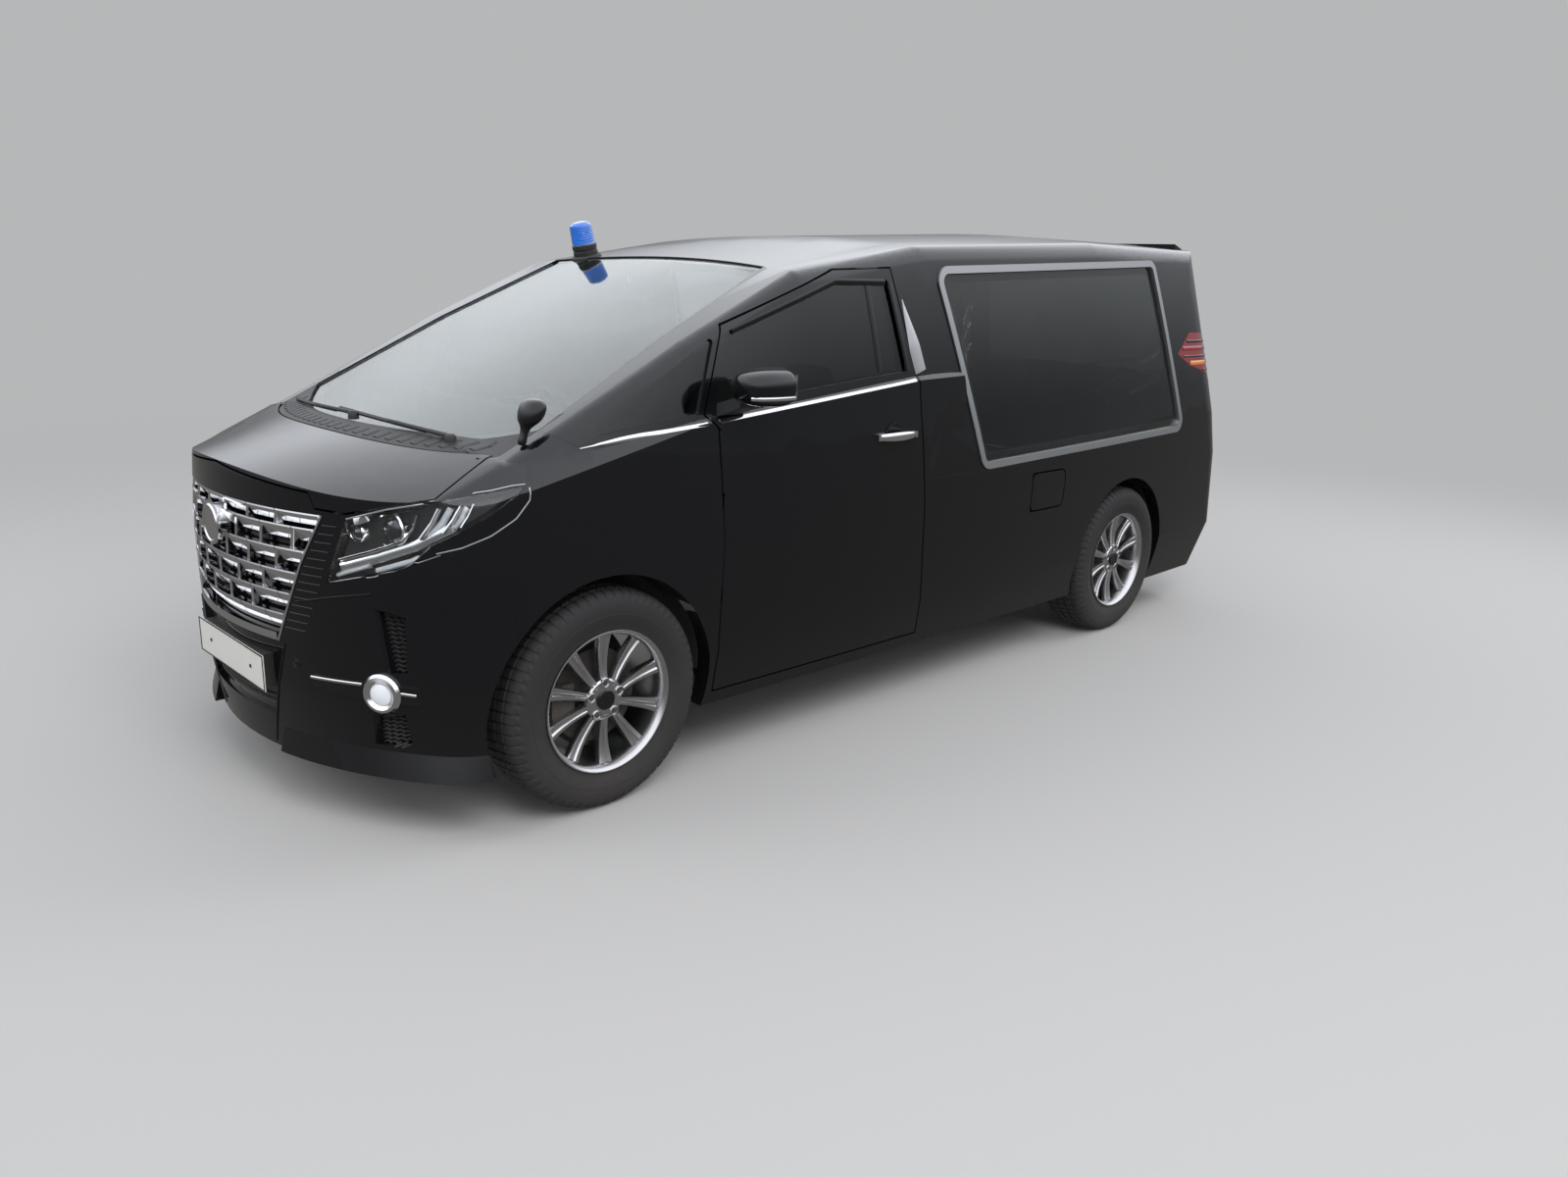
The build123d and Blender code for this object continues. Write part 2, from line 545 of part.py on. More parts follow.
flap_bores = [Pos(flap_at[0], flap_at[1], z) * Cylinder(FLAP_PIN_R + PIN_CLEARANCE, 42) for z in (700, 843)]
side = LEFT - side_prism(WING_SEAM, grow=SEAM) - side_prism(REAR_BUMPER, grow=SEAM)
side = side - side_prism(TAIL_LAMP, 690, grow=SEAM) - tailgate_cut - roof_cut - screen_cut - cowl_cut - door_cut
side = side - load_zone - quarter_zone
side_right = mirrored(side)
fuel_flap = side & flap_zone
flap_stop = y_tube(8, across(870), across(902) - SEAT_GAP, along(FUEL_FLAP[0][0] - 120), 771)
flap_turn = box(flap_at[0] - 24, flap_at[0] + 18, across(890), across(960), 687, 856)
side = side - flap_cut - flap_turn + flap_stop
for pin, bore in zip(flap_pins, flap_bores):
    side += pin
    fuel_flap -= bore
keep("side_left", side)
keep("side_right", side_right)
keep("fuel_flap", fuel_flap)
keep("door_right", mirrored(NODES["door_left"]))
keep("door_glass_right", mirrored(NODES["door_glass_left"]))
keep("quarter_glass", both(GLASS & quarter_zone))
keep("load_windows", both(GLASS & load_inner))
frame_ring = (cabin_envelope(-6) - cabin_envelope(GLASS_INSET + GLASS_T + 10)) & (load_zone - load_inner)
keep("load_window_frames", both(frame_ring))
roof = (SHELL & roof_zone) - screen_cut - tailgate_cut - arm_notch - mirrored(arm_notch)
keep("roof", max(roof.solids(), key=lambda item: item.volume))
keep("windscreen", GLASS & screen_zone)
print("sides")


# Wheels
# Tyre section, as (y, r) from the bead over the tread, for one half.
BEAD_R = 216.0
RIM_HALF = 98.0
BARREL_R = 204.0
HUB_R = 72.0
SPINDLE_R = 14.0
BORE_CLEARANCE = 0.06
SPOKES = 10
SPOKE_Y = 62.0
SPOKE_T = 24.0
DISC_R = 150.0
DISC_Y = -5.0
DISC_T = 24.0
HUB_Y = DISC_Y + DISC_T
HUB_END_Y = SPOKE_Y + SPOKE_T
CARRIER_END_Y = DISC_Y - 10.0


def revolved(points):
    """Ring about the wheel's own axis from (y, r) points."""
    face = make_face(Polyline(*[(r, y) for y, r in points], close=True))
    return Rot(-90, 0, 0) * revolve(Plane.XZ * face, Axis.Z)


def tyre_shape():
    half = TYRE_WIDTH / 2
    right = [(RIM_HALF, BEAD_R), (RIM_HALF, RIM_R + 3), (half - 4, 258), (half, 288), (half - 5, 318), (half - 20, 342), (half - 36, TYRE_R - 1.5)]
    left = [(-y, r) for y, r in reversed(right)]
    return revolved(right + [(0, TYRE_R)] + left)


def rim_shape():
    lip = RIM_HALF + 0.4
    rim = revolved([
        (-lip, BARREL_R), (-lip - 8, BARREL_R + 4), (-lip - 8, RIM_R), (-lip, RIM_R), (-lip, BEAD_R - 0.3),
        (lip, BEAD_R - 0.3), (lip, RIM_R), (lip + 8, RIM_R), (lip + 8, BARREL_R + 4), (lip, BARREL_R),
    ])
    rim += y_tube(HUB_R, HUB_Y, HUB_END_Y, 0, 0)
    spoke = make_face(Polyline((-13, 40), (-21, BARREL_R + 5), (21, BARREL_R + 5), (13, 40), close=True))
    spoke = extrude(Plane.XZ.offset(-SPOKE_Y) * spoke, amount=-SPOKE_T)
    for i in range(SPOKES):
        rim += Rot(0, i * 360 / SPOKES, 0) * spoke
    rim -= y_tube(SPINDLE_R + BORE_CLEARANCE, -50, HUB_END_Y - 8, 0, 0)
    disc = y_tube(DISC_R, DISC_Y, HUB_Y, 0, 0) - y_tube(SPINDLE_R + BORE_CLEARANCE, -50, 50, 0, 0)
    return Compound(children=[rim.solids()[0], disc.solids()[0]])


def moved(shape, x, y, z):
    return Pos(x, y, z) * shape


tyre = tyre_shape()
rim = rim_shape()
WHEELS = [("front_left", FRONT_AXLE_X, 1), ("front_right", FRONT_AXLE_X, -1), ("rear_left", REAR_AXLE_X, 1), ("rear_right", REAR_AXLE_X, -1)]
for name, axle, sign in WHEELS:
    for kind, shape in (("tyre", tyre), ("rim", rim)):
        piece = moved(shape, axle, WHEEL_Y, TYRE_R)
        keep(f"{kind}_{name}", piece if sign > 0 else mirrored(piece))

# Knuckles, front subframe and rear axle
BALL_Z = 185.0
BALL_R = 9.0
ARM_T = 16.0
carrier = y_tube(46, WHEEL_Y - 95, WHEEL_Y + CARRIER_END_Y, FRONT_AXLE_X, TYRE_R)
carrier += y_tube(SPINDLE_R, WHEEL_Y + CARRIER_END_Y - 1, WHEEL_Y + HUB_END_Y - 14, FRONT_AXLE_X, TYRE_R)
boss = Pos(FRONT_AXLE_X, KINGPIN_Y, (BALL_Z + TYRE_R) / 2) * Cylinder(22, TYRE_R - BALL_Z)
knuckle = carrier + boss - Pos(FRONT_AXLE_X, KINGPIN_Y, BALL_Z + 20) * Cylinder(BALL_R + BORE_CLEARANCE, 44)
knuckle += box(FRONT_AXLE_X - 125, FRONT_AXLE_X - 30, WHEEL_Y - 92, WHEEL_Y - 72, TYRE_R - 22, TYRE_R + 2)
caliper = box(FRONT_AXLE_X + 92, FRONT_AXLE_X + 172, WHEEL_Y - 55, WHEEL_Y + HUB_Y + 28, TYRE_R - 65, TYRE_R + 65)
caliper -= y_tube(DISC_R + 6, WHEEL_Y + DISC_Y - 6, WHEEL_Y + HUB_Y + 6, FRONT_AXLE_X, TYRE_R)
knuckle += caliper
knuckle += box(FRONT_AXLE_X + 20, FRONT_AXLE_X + 120, WHEEL_Y - 80, WHEEL_Y - 50, TYRE_R - 25, TYRE_R + 25)
keep("knuckle_left", knuckle)
keep("knuckle_right", mirrored(knuckle))

ARM_TOP_Z = BALL_Z - 5
arm = box(FRONT_AXLE_X - 24, FRONT_AXLE_X + 24, 370, KINGPIN_Y, ARM_TOP_Z - ARM_T, ARM_TOP_Z)
arm += Pos(FRONT_AXLE_X, KINGPIN_Y, ARM_TOP_Z - ARM_T / 2) * Cylinder(24, ARM_T)
arm += Pos(FRONT_AXLE_X, KINGPIN_Y, ARM_TOP_Z + 18) * Cylinder(BALL_R, 38)
STRUT_Y = WHEEL_Y - 250
STRUT_TOP_Z = 860.0
arm += Pos(FRONT_AXLE_X, STRUT_Y, (ARM_TOP_Z + STRUT_TOP_Z) / 2 - 2) * Cylinder(24, STRUT_TOP_Z - ARM_TOP_Z)
arm += Pos(FRONT_AXLE_X, STRUT_Y, 640) * Cylinder(52, 300)
CROSS_TOP_Z = 240.0
cross = box(FRONT_AXLE_X - 150, FRONT_AXLE_X + 150, -380, 380, ARM_TOP_Z - ARM_T, CROSS_TOP_Z)
# The beam ends clear of the bumper's inner wall
beam_x = along(2205)
rails = box(along(FIREWALL_X), beam_x, 410, 470, 330, 450) + box(FRONT_AXLE_X - 60, FRONT_AXLE_X + 60, 375, 415, 200, 400)
tower = box(FRONT_AXLE_X - 70, FRONT_AXLE_X + 70, 440, 600, STRUT_TOP_Z - 6, STRUT_TOP_Z + 14)
tower += box(FRONT_AXLE_X - 70, FRONT_AXLE_X + 70, 440, 460, 440, STRUT_TOP_Z + 14)
beam = box(beam_x - 40, beam_x, -470, 470, 330, 450)
# Radiator support, with the two stops that the shut bonnet rests on
support = box(beam_x - 66, beam_x - 40, -470, 470, 880, 920)
for y in (-455, 455):
    support += box(beam_x - 66, beam_x - 40, y - 15, y + 15, 400, 900)
for y in (-400, 400):
    support += Pos(0, 0, -SEAT_GAP) * ((Pos(beam_x - 53, y, 1000) * Cylinder(12, 200)) & INNER)
beam += support
subframe = cross + beam + arm + rails + tower + mirrored(arm + rails + tower)
keep("front_subframe", subframe)
keep("engine", box(FRONT_AXLE_X + 80, FRONT_AXLE_X + 520, -360, 370, CROSS_TOP_Z, 840))

hub_stub = y_tube(46, WHEEL_Y - 95, WHEEL_Y + CARRIER_END_Y, REAR_AXLE_X, TYRE_R)
hub_stub += y_tube(SPINDLE_R, WHEEL_Y + CARRIER_END_Y - 1, WHEEL_Y + HUB_END_Y - 14, REAR_AXLE_X, TYRE_R)
trail = box(REAR_AXLE_X - 30, REAR_AXLE_X + 480, 560, 610, 270, 350) + box(REAR_AXLE_X - 30, REAR_AXLE_X + 30, 600, WHEEL_Y - 80, 310, 360)
trail += Pos(REAR_AXLE_X - 10, 540, (290 + DECK_Z - 30) / 2) * Cylinder(30, DECK_Z - 30 - 290) + box(REAR_AXLE_X - 40, REAR_AXLE_X + 20, 520, 600, 270, 300)
half_axle = hub_stub + trail
rear_axle = y_tube(34, -600, 600, REAR_AXLE_X + 90, 310) + half_axle + mirrored(half_axle)
keep("rear_axle", rear_axle)

# Arch liners and floor
REAR_LINER_Y = WHEEL_Y - 170


def liner(axle, inner_y):
    ring = y_tube(ARCH_R + LINER_T, inner_y - LINER_T, 1000, axle, TYRE_R)
    ring -= y_tube(ARCH_R, inner_y, 1001, axle, TYRE_R)
    return (ring & box(axle - 450, axle + 450, 0, 1000, FLOOR_Z - FLOOR_T, 900)) & INNER


liners_left = [liner(FRONT_AXLE_X, LINER_Y + 10), liner(REAR_AXLE_X, REAR_LINER_Y)]
liners_left[1] -= box(REAR_AXLE_X - 40, REAR_AXLE_X + 40, 500, 700, 200, TYRE_R + 20)
front_liner = liners_left[0] - box(FRONT_AXLE_X - 76, FRONT_AXLE_X + 76, 400, 606, 100, STRUT_TOP_Z + 20)
front_liner = front_liner & box(0, 4000, 0, 1200, TYRE_R, 900)
keep("arch_liners", Compound(children=front_liner.solids() + liners_left[1].solids() + mirrored(front_liner).solids() + mirrored(liners_left[1]).solids()))

firewall_x = along(FIREWALL_X)
floor = box(along(-2400), firewall_x, -1100, 1100, FLOOR_Z - FLOOR_T, FLOOR_Z) & INNER
floor += box(firewall_x - 20, firewall_x, -1100, 1100, FLOOR_Z - FLOOR_T, 1120) & INNER
for sign in (1, -1):
    floor -= Pos(hinge_at[0], sign * hinge_at[1], FLOOR_Z) * Cylinder(DOOR_EDGE_R + PANEL_GAP, 2 * FLOOR_T + 2)
    y0, y1 = sorted((sign * (REAR_LINER_Y - LINER_T), sign * 1000))
    floor -= y_tube(ARCH_R + LINER_T, y0, y1, REAR_AXLE_X, TYRE_R)
    y0, y1 = sorted((sign * (LINER_Y + 10 - LINER_T), sign * 1000))
    floor -= y_tube(ARCH_R + LINER_T, y0, y1, FRONT_AXLE_X, TYRE_R)
floor -= box(REAR_AXLE_X - 160, REAR_AXLE_X + 520, -REAR_LINER_Y, REAR_LINER_Y, 200, 400)
keep("floor_pan", floor)
deck = box(along(-2330), along(60), -1100, 1100, DECK_Z - 30, DECK_Z) & INNER
legs = [fit_box(x, x + 60, y, y + 60, FLOOR_Z, DECK_Z - 29) for x in (-2300, -900, -20) for y in (-560, 500)]
for sign in (1, -1):
    y0, y1 = sorted((sign * (REAR_LINER_Y - LINER_T - 1), sign * 1000))
    deck -= y_tube(ARCH_R + LINER_T + 1, y0, y1, REAR_AXLE_X, TYRE_R)
for leg in legs:
    deck += leg
keep("load_deck", deck)
keep("fuel_tank", fit_box(-850, -250, 40, 560, 205, FLOOR_Z - FLOOR_T))
pipe = Pos(along(-200), -260, 236) * Rot(0, 90, 0) * Cylinder(26, along(1300) - along(-1700))
pipe += fit_box(-2250, -1700, -560, -160, 190, FLOOR_Z - FLOOR_T)
keep("exhaust", pipe)

# Cab
dash = box(firewall_x - 240, firewall_x - 20, across(-815), across(815), 700, 1060) & INNER
for side in (1, -1):
    y0, y1 = sorted((side * across(782), side * across(820)))
    dash -= box(hinge_at[0] + 30, firewall_x, y0, y1, 570, 1065)
keep("dashboard", dash)
seat = fit_box(330, 800, 130, 610, 420, 560) + fit_box(180, 330, 130, 610, 420, 1130) + fit_box(200, 300, 250, 490, 1130, 1290)
seat += fit_box(380, 740, 200, 540, FLOOR_Z, 420)
keep("front_seats", both(seat))
WHEEL_TILT = 25.0
STEERING_Y = -across(370)
STEERING_X = along(900)
STEERING_Z = 985.0
steering = Torus(180, 15) + Cylinder(45, 30) + Box(350, 30, 16)
steering += Pos(0, 0, -50) * Cylinder(18, 90)
steering = Pos(STEERING_X, STEERING_Y, STEERING_Z) * Rot(0, -(90 - WHEEL_TILT), 0) * steering
keep("steering_wheel", steering)
column = Pos(STEERING_X, STEERING_Y, STEERING_Z) * Rot(0, -(90 - WHEEL_TILT), 0) * (Pos(0, 0, -145.3) * Cylinder(22, 100))
NODES["dashboard"] = dash + column

# Outer fittings
mirror_head = fillet(fit_box(1015, 1175, 925, 1082, 1238, 1344).edges(), 22)
mirror_arm = fit_box(1060, 1140, 860, 935, 1222, 1250) - (OUTER & fit_box(900, 1300, 700, 1000, 1100, 1400))
mirror_arm = max(mirror_arm.solids(), key=lambda item: item.volume)
keep("mirror_left", mirror_head + mirror_arm)
keep("mirror_right", mirrored(mirror_head + mirror_arm))
handle = fit_box(225, 445, 900, 948, 1062, 1092) - (OUTER & fit_box(100, 600, 700, 1000, 900, 1300))
handle = max(handle.solids(), key=lambda item: item.volume)
keep("door_handle_left", handle)
keep("door_handle_right", mirrored(handle))
beacon = Pos(0, 0, 22) * Cylinder(62, 44) + Pos(0, 0, 110) * Cylinder(50, 134)
beacon = Pos(along(681), -across(500), 1632) * Rot(0, 14, 0) * beacon
keep("beacon", beacon - OUTER)
fender = Pos(along(1800), across(770), 1110) * Cylinder(16, 200) + fillet(fit_box(1740, 1800, 730, 810, 1200, 1270).edges(), 15)
fender = fender - OUTER
keep("wing_mirror", max(fender.solids(), key=lambda item: item.volume))
# Wipers: foot, middle and tip of each arm, just above the cowl and screen
WIPERS = [
    [(1905, 540, 1142), (1945, 240, 1157), (1948, -90, 1163)],
    [(1964, 40, 1160), (1950, -280, 1154), (1880, -600, 1141)],
]
wipers = []
for foot, middle, tip in WIPERS:
    points = [(*at(x, y), z) for x, y, z in (foot, middle, tip)]
    path = ThreePointArc(*points)
    arm = sweep(Plane(origin=path @ 0, z_dir=path % 0) * Circle(7), path=path)
    arm += Pos(points[0][0], points[0][1], foot[2] - 8) * Cylinder(18, 36)
    wipers.append(max((arm - OUTER).solids(), key=lambda item: item.volume))
keep("wipers", Compound(children=wipers))
print("pieces")

for name, shape in NODES.items():
    print(name, shape.is_valid, len(shape.solids()), [round(s.volume / 1e6, 2) for s in shape.solids()][:6])
    export_step(shape, f"parts/{name}.step")
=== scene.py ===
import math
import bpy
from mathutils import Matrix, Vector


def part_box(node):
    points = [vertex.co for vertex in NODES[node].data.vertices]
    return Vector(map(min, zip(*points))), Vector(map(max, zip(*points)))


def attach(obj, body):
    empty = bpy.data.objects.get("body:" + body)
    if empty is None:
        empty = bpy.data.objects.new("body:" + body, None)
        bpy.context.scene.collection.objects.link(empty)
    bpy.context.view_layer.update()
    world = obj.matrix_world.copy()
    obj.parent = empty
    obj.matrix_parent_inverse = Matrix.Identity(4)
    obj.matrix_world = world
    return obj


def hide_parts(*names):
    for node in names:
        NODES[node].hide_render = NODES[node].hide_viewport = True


bl_info = {
    "name": "Hearse",
    "version": (1, 0, 0),
    "blender": (4, 5, 0),
    "location": "View3D > Sidebar > Hearse",
    "description": "Dresses the frame of a people-carrier hearse with its trims, wheels, lamps and finishes",
    "category": "Object",
}

import bmesh
import bpy
from bpy.props import FloatProperty, FloatVectorProperty, IntProperty, PointerProperty
from mathutils import Matrix, Vector
from mathutils.bvhtree import BVHTree

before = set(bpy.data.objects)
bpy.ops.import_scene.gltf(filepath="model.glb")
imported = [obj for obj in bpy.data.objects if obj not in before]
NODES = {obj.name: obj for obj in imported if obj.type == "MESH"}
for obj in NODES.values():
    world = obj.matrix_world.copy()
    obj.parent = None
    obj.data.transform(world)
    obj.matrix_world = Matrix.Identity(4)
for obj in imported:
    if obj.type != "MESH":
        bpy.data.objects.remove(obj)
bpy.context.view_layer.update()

# Places taken from the frame, in metres
FRONT_AXLE = 1.6
REAR_AXLE = -1.4
AXLE_Z = 0.351
WHEEL_Y = 0.79
TYRE_RADIUS = 0.351
WHEELS = [
    ("front_left", FRONT_AXLE, 1),
    ("front_right", FRONT_AXLE, -1),
    ("rear_left", REAR_AXLE, 1),
    ("rear_right", REAR_AXLE, -1),
]
SIDES = [(1, "left"), (-1, "right")]

# Where the rays that seat pieces start, clear of the body
BESIDE = 1.4
BEYOND = 3.2
ABOVE = 3.0

# Points of one panel nearer to each other than this are one point
WELD = 0.00002


class HearseSizes(bpy.types.PropertyGroup):
    tread_blocks: IntProperty(
        name="Tread blocks", description="Blocks round each tyre", default=66, min=20, max=120
    )
    tread_depth: FloatProperty(
        name="Tread depth", description="Depth of the grooves", default=0.007, unit="LENGTH"
    )
    spokes: IntProperty(name="Spokes", description="Spokes in each wheel", default=10, min=5, max=20)
    belt_width: FloatProperty(
        name="Belt moulding", description="Height of the bright belt moulding", default=0.016, unit="LENGTH"
    )
    plate_width: FloatProperty(
        name="Plate width", description="Width of the blank plates", default=0.52, unit="LENGTH"
    )
    plate_height: FloatProperty(
        name="Plate height", description="Height of the blank plates", default=0.112, unit="LENGTH"
    )
    crease_angle: FloatProperty(
        name="Crease angle",
        description="Edges flatter than this are shaded smooth",
        default=math.radians(32),
        subtype="ANGLE",
    )


class HearseColours(bpy.types.PropertyGroup):
    paint: FloatVectorProperty(
        name="Paint", description="Body paint", subtype="COLOR", size=3, default=(0.0035, 0.0038, 0.005)
    )
    chrome: FloatVectorProperty(
        name="Bright trim", description="Plated trim", subtype="COLOR", size=3, default=(0.78, 0.78, 0.79)
    )
    rubber: FloatVectorProperty(
        name="Rubber", description="Tyre rubber", subtype="COLOR", size=3, default=(0.014, 0.014, 0.015)
    )
    alloy: FloatVectorProperty(
        name="Alloy", description="Wheel alloy", subtype="COLOR", size=3, default=(0.62, 0.62, 0.63)
    )
    window_frame: FloatVectorProperty(
        name="Window frame", description="Load window frame", subtype="COLOR", size=3,
        default=(0.42, 0.43, 0.44),
    )
    beacon: FloatVectorProperty(
        name="Beacon", description="Beacon lens", subtype="COLOR", size=3, default=(0.02, 0.20, 0.80)
    )
    dust: FloatVectorProperty(
        name="Road dust", description="Dust low on the body", subtype="COLOR", size=3,
        default=(0.22, 0.19, 0.16),
    )
    floor: FloatVectorProperty(
        name="Floor", description="Studio floor", subtype="COLOR", size=3, default=(0.44, 0.435, 0.43)
    )
    backdrop: FloatVectorProperty(
        name="Backdrop", description="Colour behind the car", subtype="COLOR", size=3,
        default=(0.47, 0.475, 0.48),
    )


def sizes():
    return bpy.context.scene.hearse_sizes


def colours():
    return bpy.context.scene.hearse_colours


# Shared shader effects


def new_group(name, inputs, output):
    tree = bpy.data.node_groups.new(name, "ShaderNodeTree")
    for label, value in inputs:
        socket = tree.interface.new_socket(name=label, in_out="INPUT", socket_type="NodeSocketFloat")
        socket.default_value = value
    tree.interface.new_socket(name=output, in_out="OUTPUT", socket_type="NodeSocketFloat")
    return tree, tree.nodes.new("NodeGroupInput"), tree.nodes.new("NodeGroupOutput")


def maths(tree, operation, a, b=None, clamp=False):
    node = tree.nodes.new("ShaderNodeMath")
    node.operation = operation
    node.use_clamp = clamp
    for slot, value in ((0, a), (1, b)):
        if value is None:
            continue
        if isinstance(value, (int, float)):
            node.inputs[slot].default_value = value
        else:
            tree.links.new(value, node.inputs[slot])
    return node.outputs[0]


def noise(tree, vector, scale, detail=3.0):
    node = tree.nodes.new("ShaderNodeTexNoise")
    node.inputs["Detail"].default_value = detail
    if isinstance(scale, (int, float)):
        node.inputs["Scale"].default_value = scale
    else:
        tree.links.new(scale, node.inputs["Scale"])
    tree.links.new(vector, node.inputs["Vector"])
    return node.outputs["Fac"]


def ranged(tree, value, source, target, kind="LINEAR"):
    """A value carried over from one range to another."""
    node = tree.nodes.new("ShaderNodeMapRange")
    node.interpolation_type = kind
    for label, number in zip(("From Min", "From Max", "To Min", "To Max"), source + target):
        node.inputs[label].default_value = number
    tree.links.new(value, node.inputs["Value"])
    return node.outputs["Result"]


def mixed(tree, factor, first, second):
    """Two shaders mixed by a factor."""
    node = tree.nodes.new("ShaderNodeMixShader")
    for slot, socket in enumerate((factor, first, second)):
        tree.links.new(socket, node.inputs[slot])
    return node.outputs[0]


def object_place(tree):
    return tree.nodes.new("ShaderNodeTexCoord").outputs["Object"]


def dust_group():
    """Road dust: strongest at the ground, broken up by noise."""
    if "Road dust" in bpy.data.node_groups:
        return bpy.data.node_groups["Road dust"]
    tree, given, out = new_group("Road dust", [("Top", 0.7), ("Amount", 0.4)], "Mask")
    place = object_place(tree)
    split = tree.nodes.new("ShaderNodeSeparateXYZ")
    tree.links.new(place, split.inputs[0])
    low = maths(tree, "DIVIDE", split.outputs["Z"], given.outputs["Top"])
    low = maths(tree, "SUBTRACT", 1.0, low, clamp=True)
    low = maths(tree, "POWER", low, 1.6)
    fine = maths(tree, "MULTIPLY", noise(tree, place, 60.0), 0.6)
    patch = maths(tree, "ADD", noise(tree, place, 5.0), fine)
    mask = maths(tree, "MULTIPLY", maths(tree, "MULTIPLY", low, patch), given.outputs["Amount"], clamp=True)
    faint = maths(tree, "MULTIPLY", given.outputs["Amount"], 0.06)
    film = maths(tree, "MULTIPLY", noise(tree, place, 2.2), faint)
    mask = maths(tree, "ADD", mask, film, clamp=True)
    tree.links.new(mask, out.inputs[0])
    return tree


def grain_group():
    """Fine moulded or cast grain as a height."""
    if "Fine grain" in bpy.data.node_groups:
        return bpy.data.node_groups["Fine grain"]
    tree, given, out = new_group("Fine grain", [("Scale", 400.0), ("Coarse share", 0.3)], "Height")
    place = object_place(tree)
    fine = noise(tree, place, given.outputs["Scale"], 2.0)
    coarse = noise(tree, place, maths(tree, "MULTIPLY", given.outputs["Scale"], 0.12), 2.0)
    height = maths(tree, "ADD", fine, maths(tree, "MULTIPLY", coarse, given.outputs["Coarse share"]))
    tree.links.new(height, out.inputs[0])
    return tree


def place_group(tree, group, **values):
    node = tree.nodes.new("ShaderNodeGroup")
    node.node_tree = group
    for label, value in values.items():
        node.inputs[label.replace("_", " ")].default_value = value
    return node.outputs[0]


def finish_of(
    name, colour, rough, grain, bump, metallic=0.0, coat=0.0, dust=0.2, dust_top=0.7, shift=0.25, **sockets
):
    """A material: colour and roughness vary with dust, grain is a bump, constants sit on the shader."""
    if name in bpy.data.materials:
        return bpy.data.materials[name]
    mat = bpy.data.materials.new(name)
    mat.use_nodes = True
    tree = mat.node_tree
    shader = tree.nodes["Principled BSDF"]
    shader.inputs["Metallic"].default_value = metallic
    shader.inputs["Coat Weight"].default_value = coat
    shader.inputs["Coat Roughness"].default_value = 0.02
    for label, value in sockets.items():
        shader.inputs[label.replace("_", " ")].default_value = value
    mask = place_group(tree, dust_group(), Top=dust_top, Amount=dust)
    mix = tree.nodes.new("ShaderNodeMix")
    mix.data_type = "RGBA"
    mix.inputs["A"].default_value = (*colour, 1.0)
    mix.inputs["B"].default_value = (*colours().dust, 1.0)
    tree.links.new(mask, mix.inputs["Factor"])
    tree.links.new(mix.outputs["Result"], shader.inputs["Base Color"])
    roughness = ranged(tree, mask, (0.0, 0.5), (rough, min(1.0, rough + shift)))
    tree.links.new(roughness, shader.inputs["Roughness"])
    relief = tree.nodes.new("ShaderNodeBump")
    relief.inputs["Strength"].default_value = bump
    relief.inputs["Distance"].default_value = 0.0006
    tree.links.new(place_group(tree, grain_group(), Scale=grain), relief.inputs["Height"])
    tree.links.new(relief.outputs["Normal"], shader.inputs["Normal"])
    return mat


def glass_of(name, tint):
    """Window glass: plain transmission, with faint streaks in its roughness."""
    if name in bpy.data.materials:
        return bpy.data.materials[name]
    mat = bpy.data.materials.new(name)
    mat.use_nodes = True
    tree = mat.node_tree
    shader = tree.nodes["Principled BSDF"]
    shader.inputs["Transmission Weight"].default_value = 1.0
    shader.inputs["IOR"].default_value = 1.48
    shader.inputs["Base Color"].default_value = (*tint, 1.0)
    streaks = ranged(tree, noise(tree, object_place(tree), 6.0), (0.0, 1.0), (0.01, 0.03))
    tree.links.new(streaks, shader.inputs["Roughness"])
    return mat


def paint():
    return finish_of(
        "Black paint", colours().paint, 0.30, coat=1.0, dust=0.04, dust_top=0.6, grain=1400.0, bump=0.02,
        Specular_IOR_Level=0.06, Coat_IOR=1.46,
    )


def gloss_black():
    return finish_of(
        "Gloss black plastic", (0.006, 0.006, 0.007), 0.22, coat=0.8, dust=0.06, dust_top=0.6, grain=900.0,
        bump=0.02, Specular_IOR_Level=0.15, Coat_IOR=1.38,
    )


def bright_trim():
    return finish_of(
        "Bright plated trim", colours().chrome, 0.07, metallic=1.0, dust=0.15, grain=700.0, bump=0.01,
        shift=0.2,
    )


def satin_black():
    return finish_of("Moulded black plastic", (0.016, 0.016, 0.017), 0.55, dust=0.35, grain=700.0, bump=0.25)


def rubber():
    return finish_of("Tyre rubber", colours().rubber, 0.72, dust=0.12, dust_top=0.9, grain=500.0, bump=0.25)


def alloy():
    return finish_of(
        "Machined alloy", colours().alloy, 0.24, metallic=1.0, coat=0.3, dust=0.25, grain=900.0, bump=0.03
    )


def dark_steel():
    return finish_of("Dark steel", (0.05, 0.048, 0.046), 0.6, metallic=0.6, dust=0.8, grain=260.0, bump=0.3)


def frame_silver():
    return finish_of(
        "Satin window frame", colours().window_frame, 0.36, metallic=0.9, dust=0.1, grain=800.0, bump=0.03
    )


def seat_leather():
    return finish_of("Seat leather", (0.013, 0.013, 0.014), 0.5, dust=0.03, grain=420.0, bump=0.35)


def carpet():
    return finish_of(
        "Deck carpet", (0.012, 0.012, 0.013), 0.95, dust=0.05, grain=900.0, bump=0.9, Sheen_Weight=0.3
    )


def plate_white():
    return finish_of("Blank plate", (0.68, 0.68, 0.64), 0.4, dust=0.3, dust_top=0.9, grain=300.0, bump=0.05)


def lens_clear():
    return glass_of("Clear lens", (0.95, 0.97, 0.98))


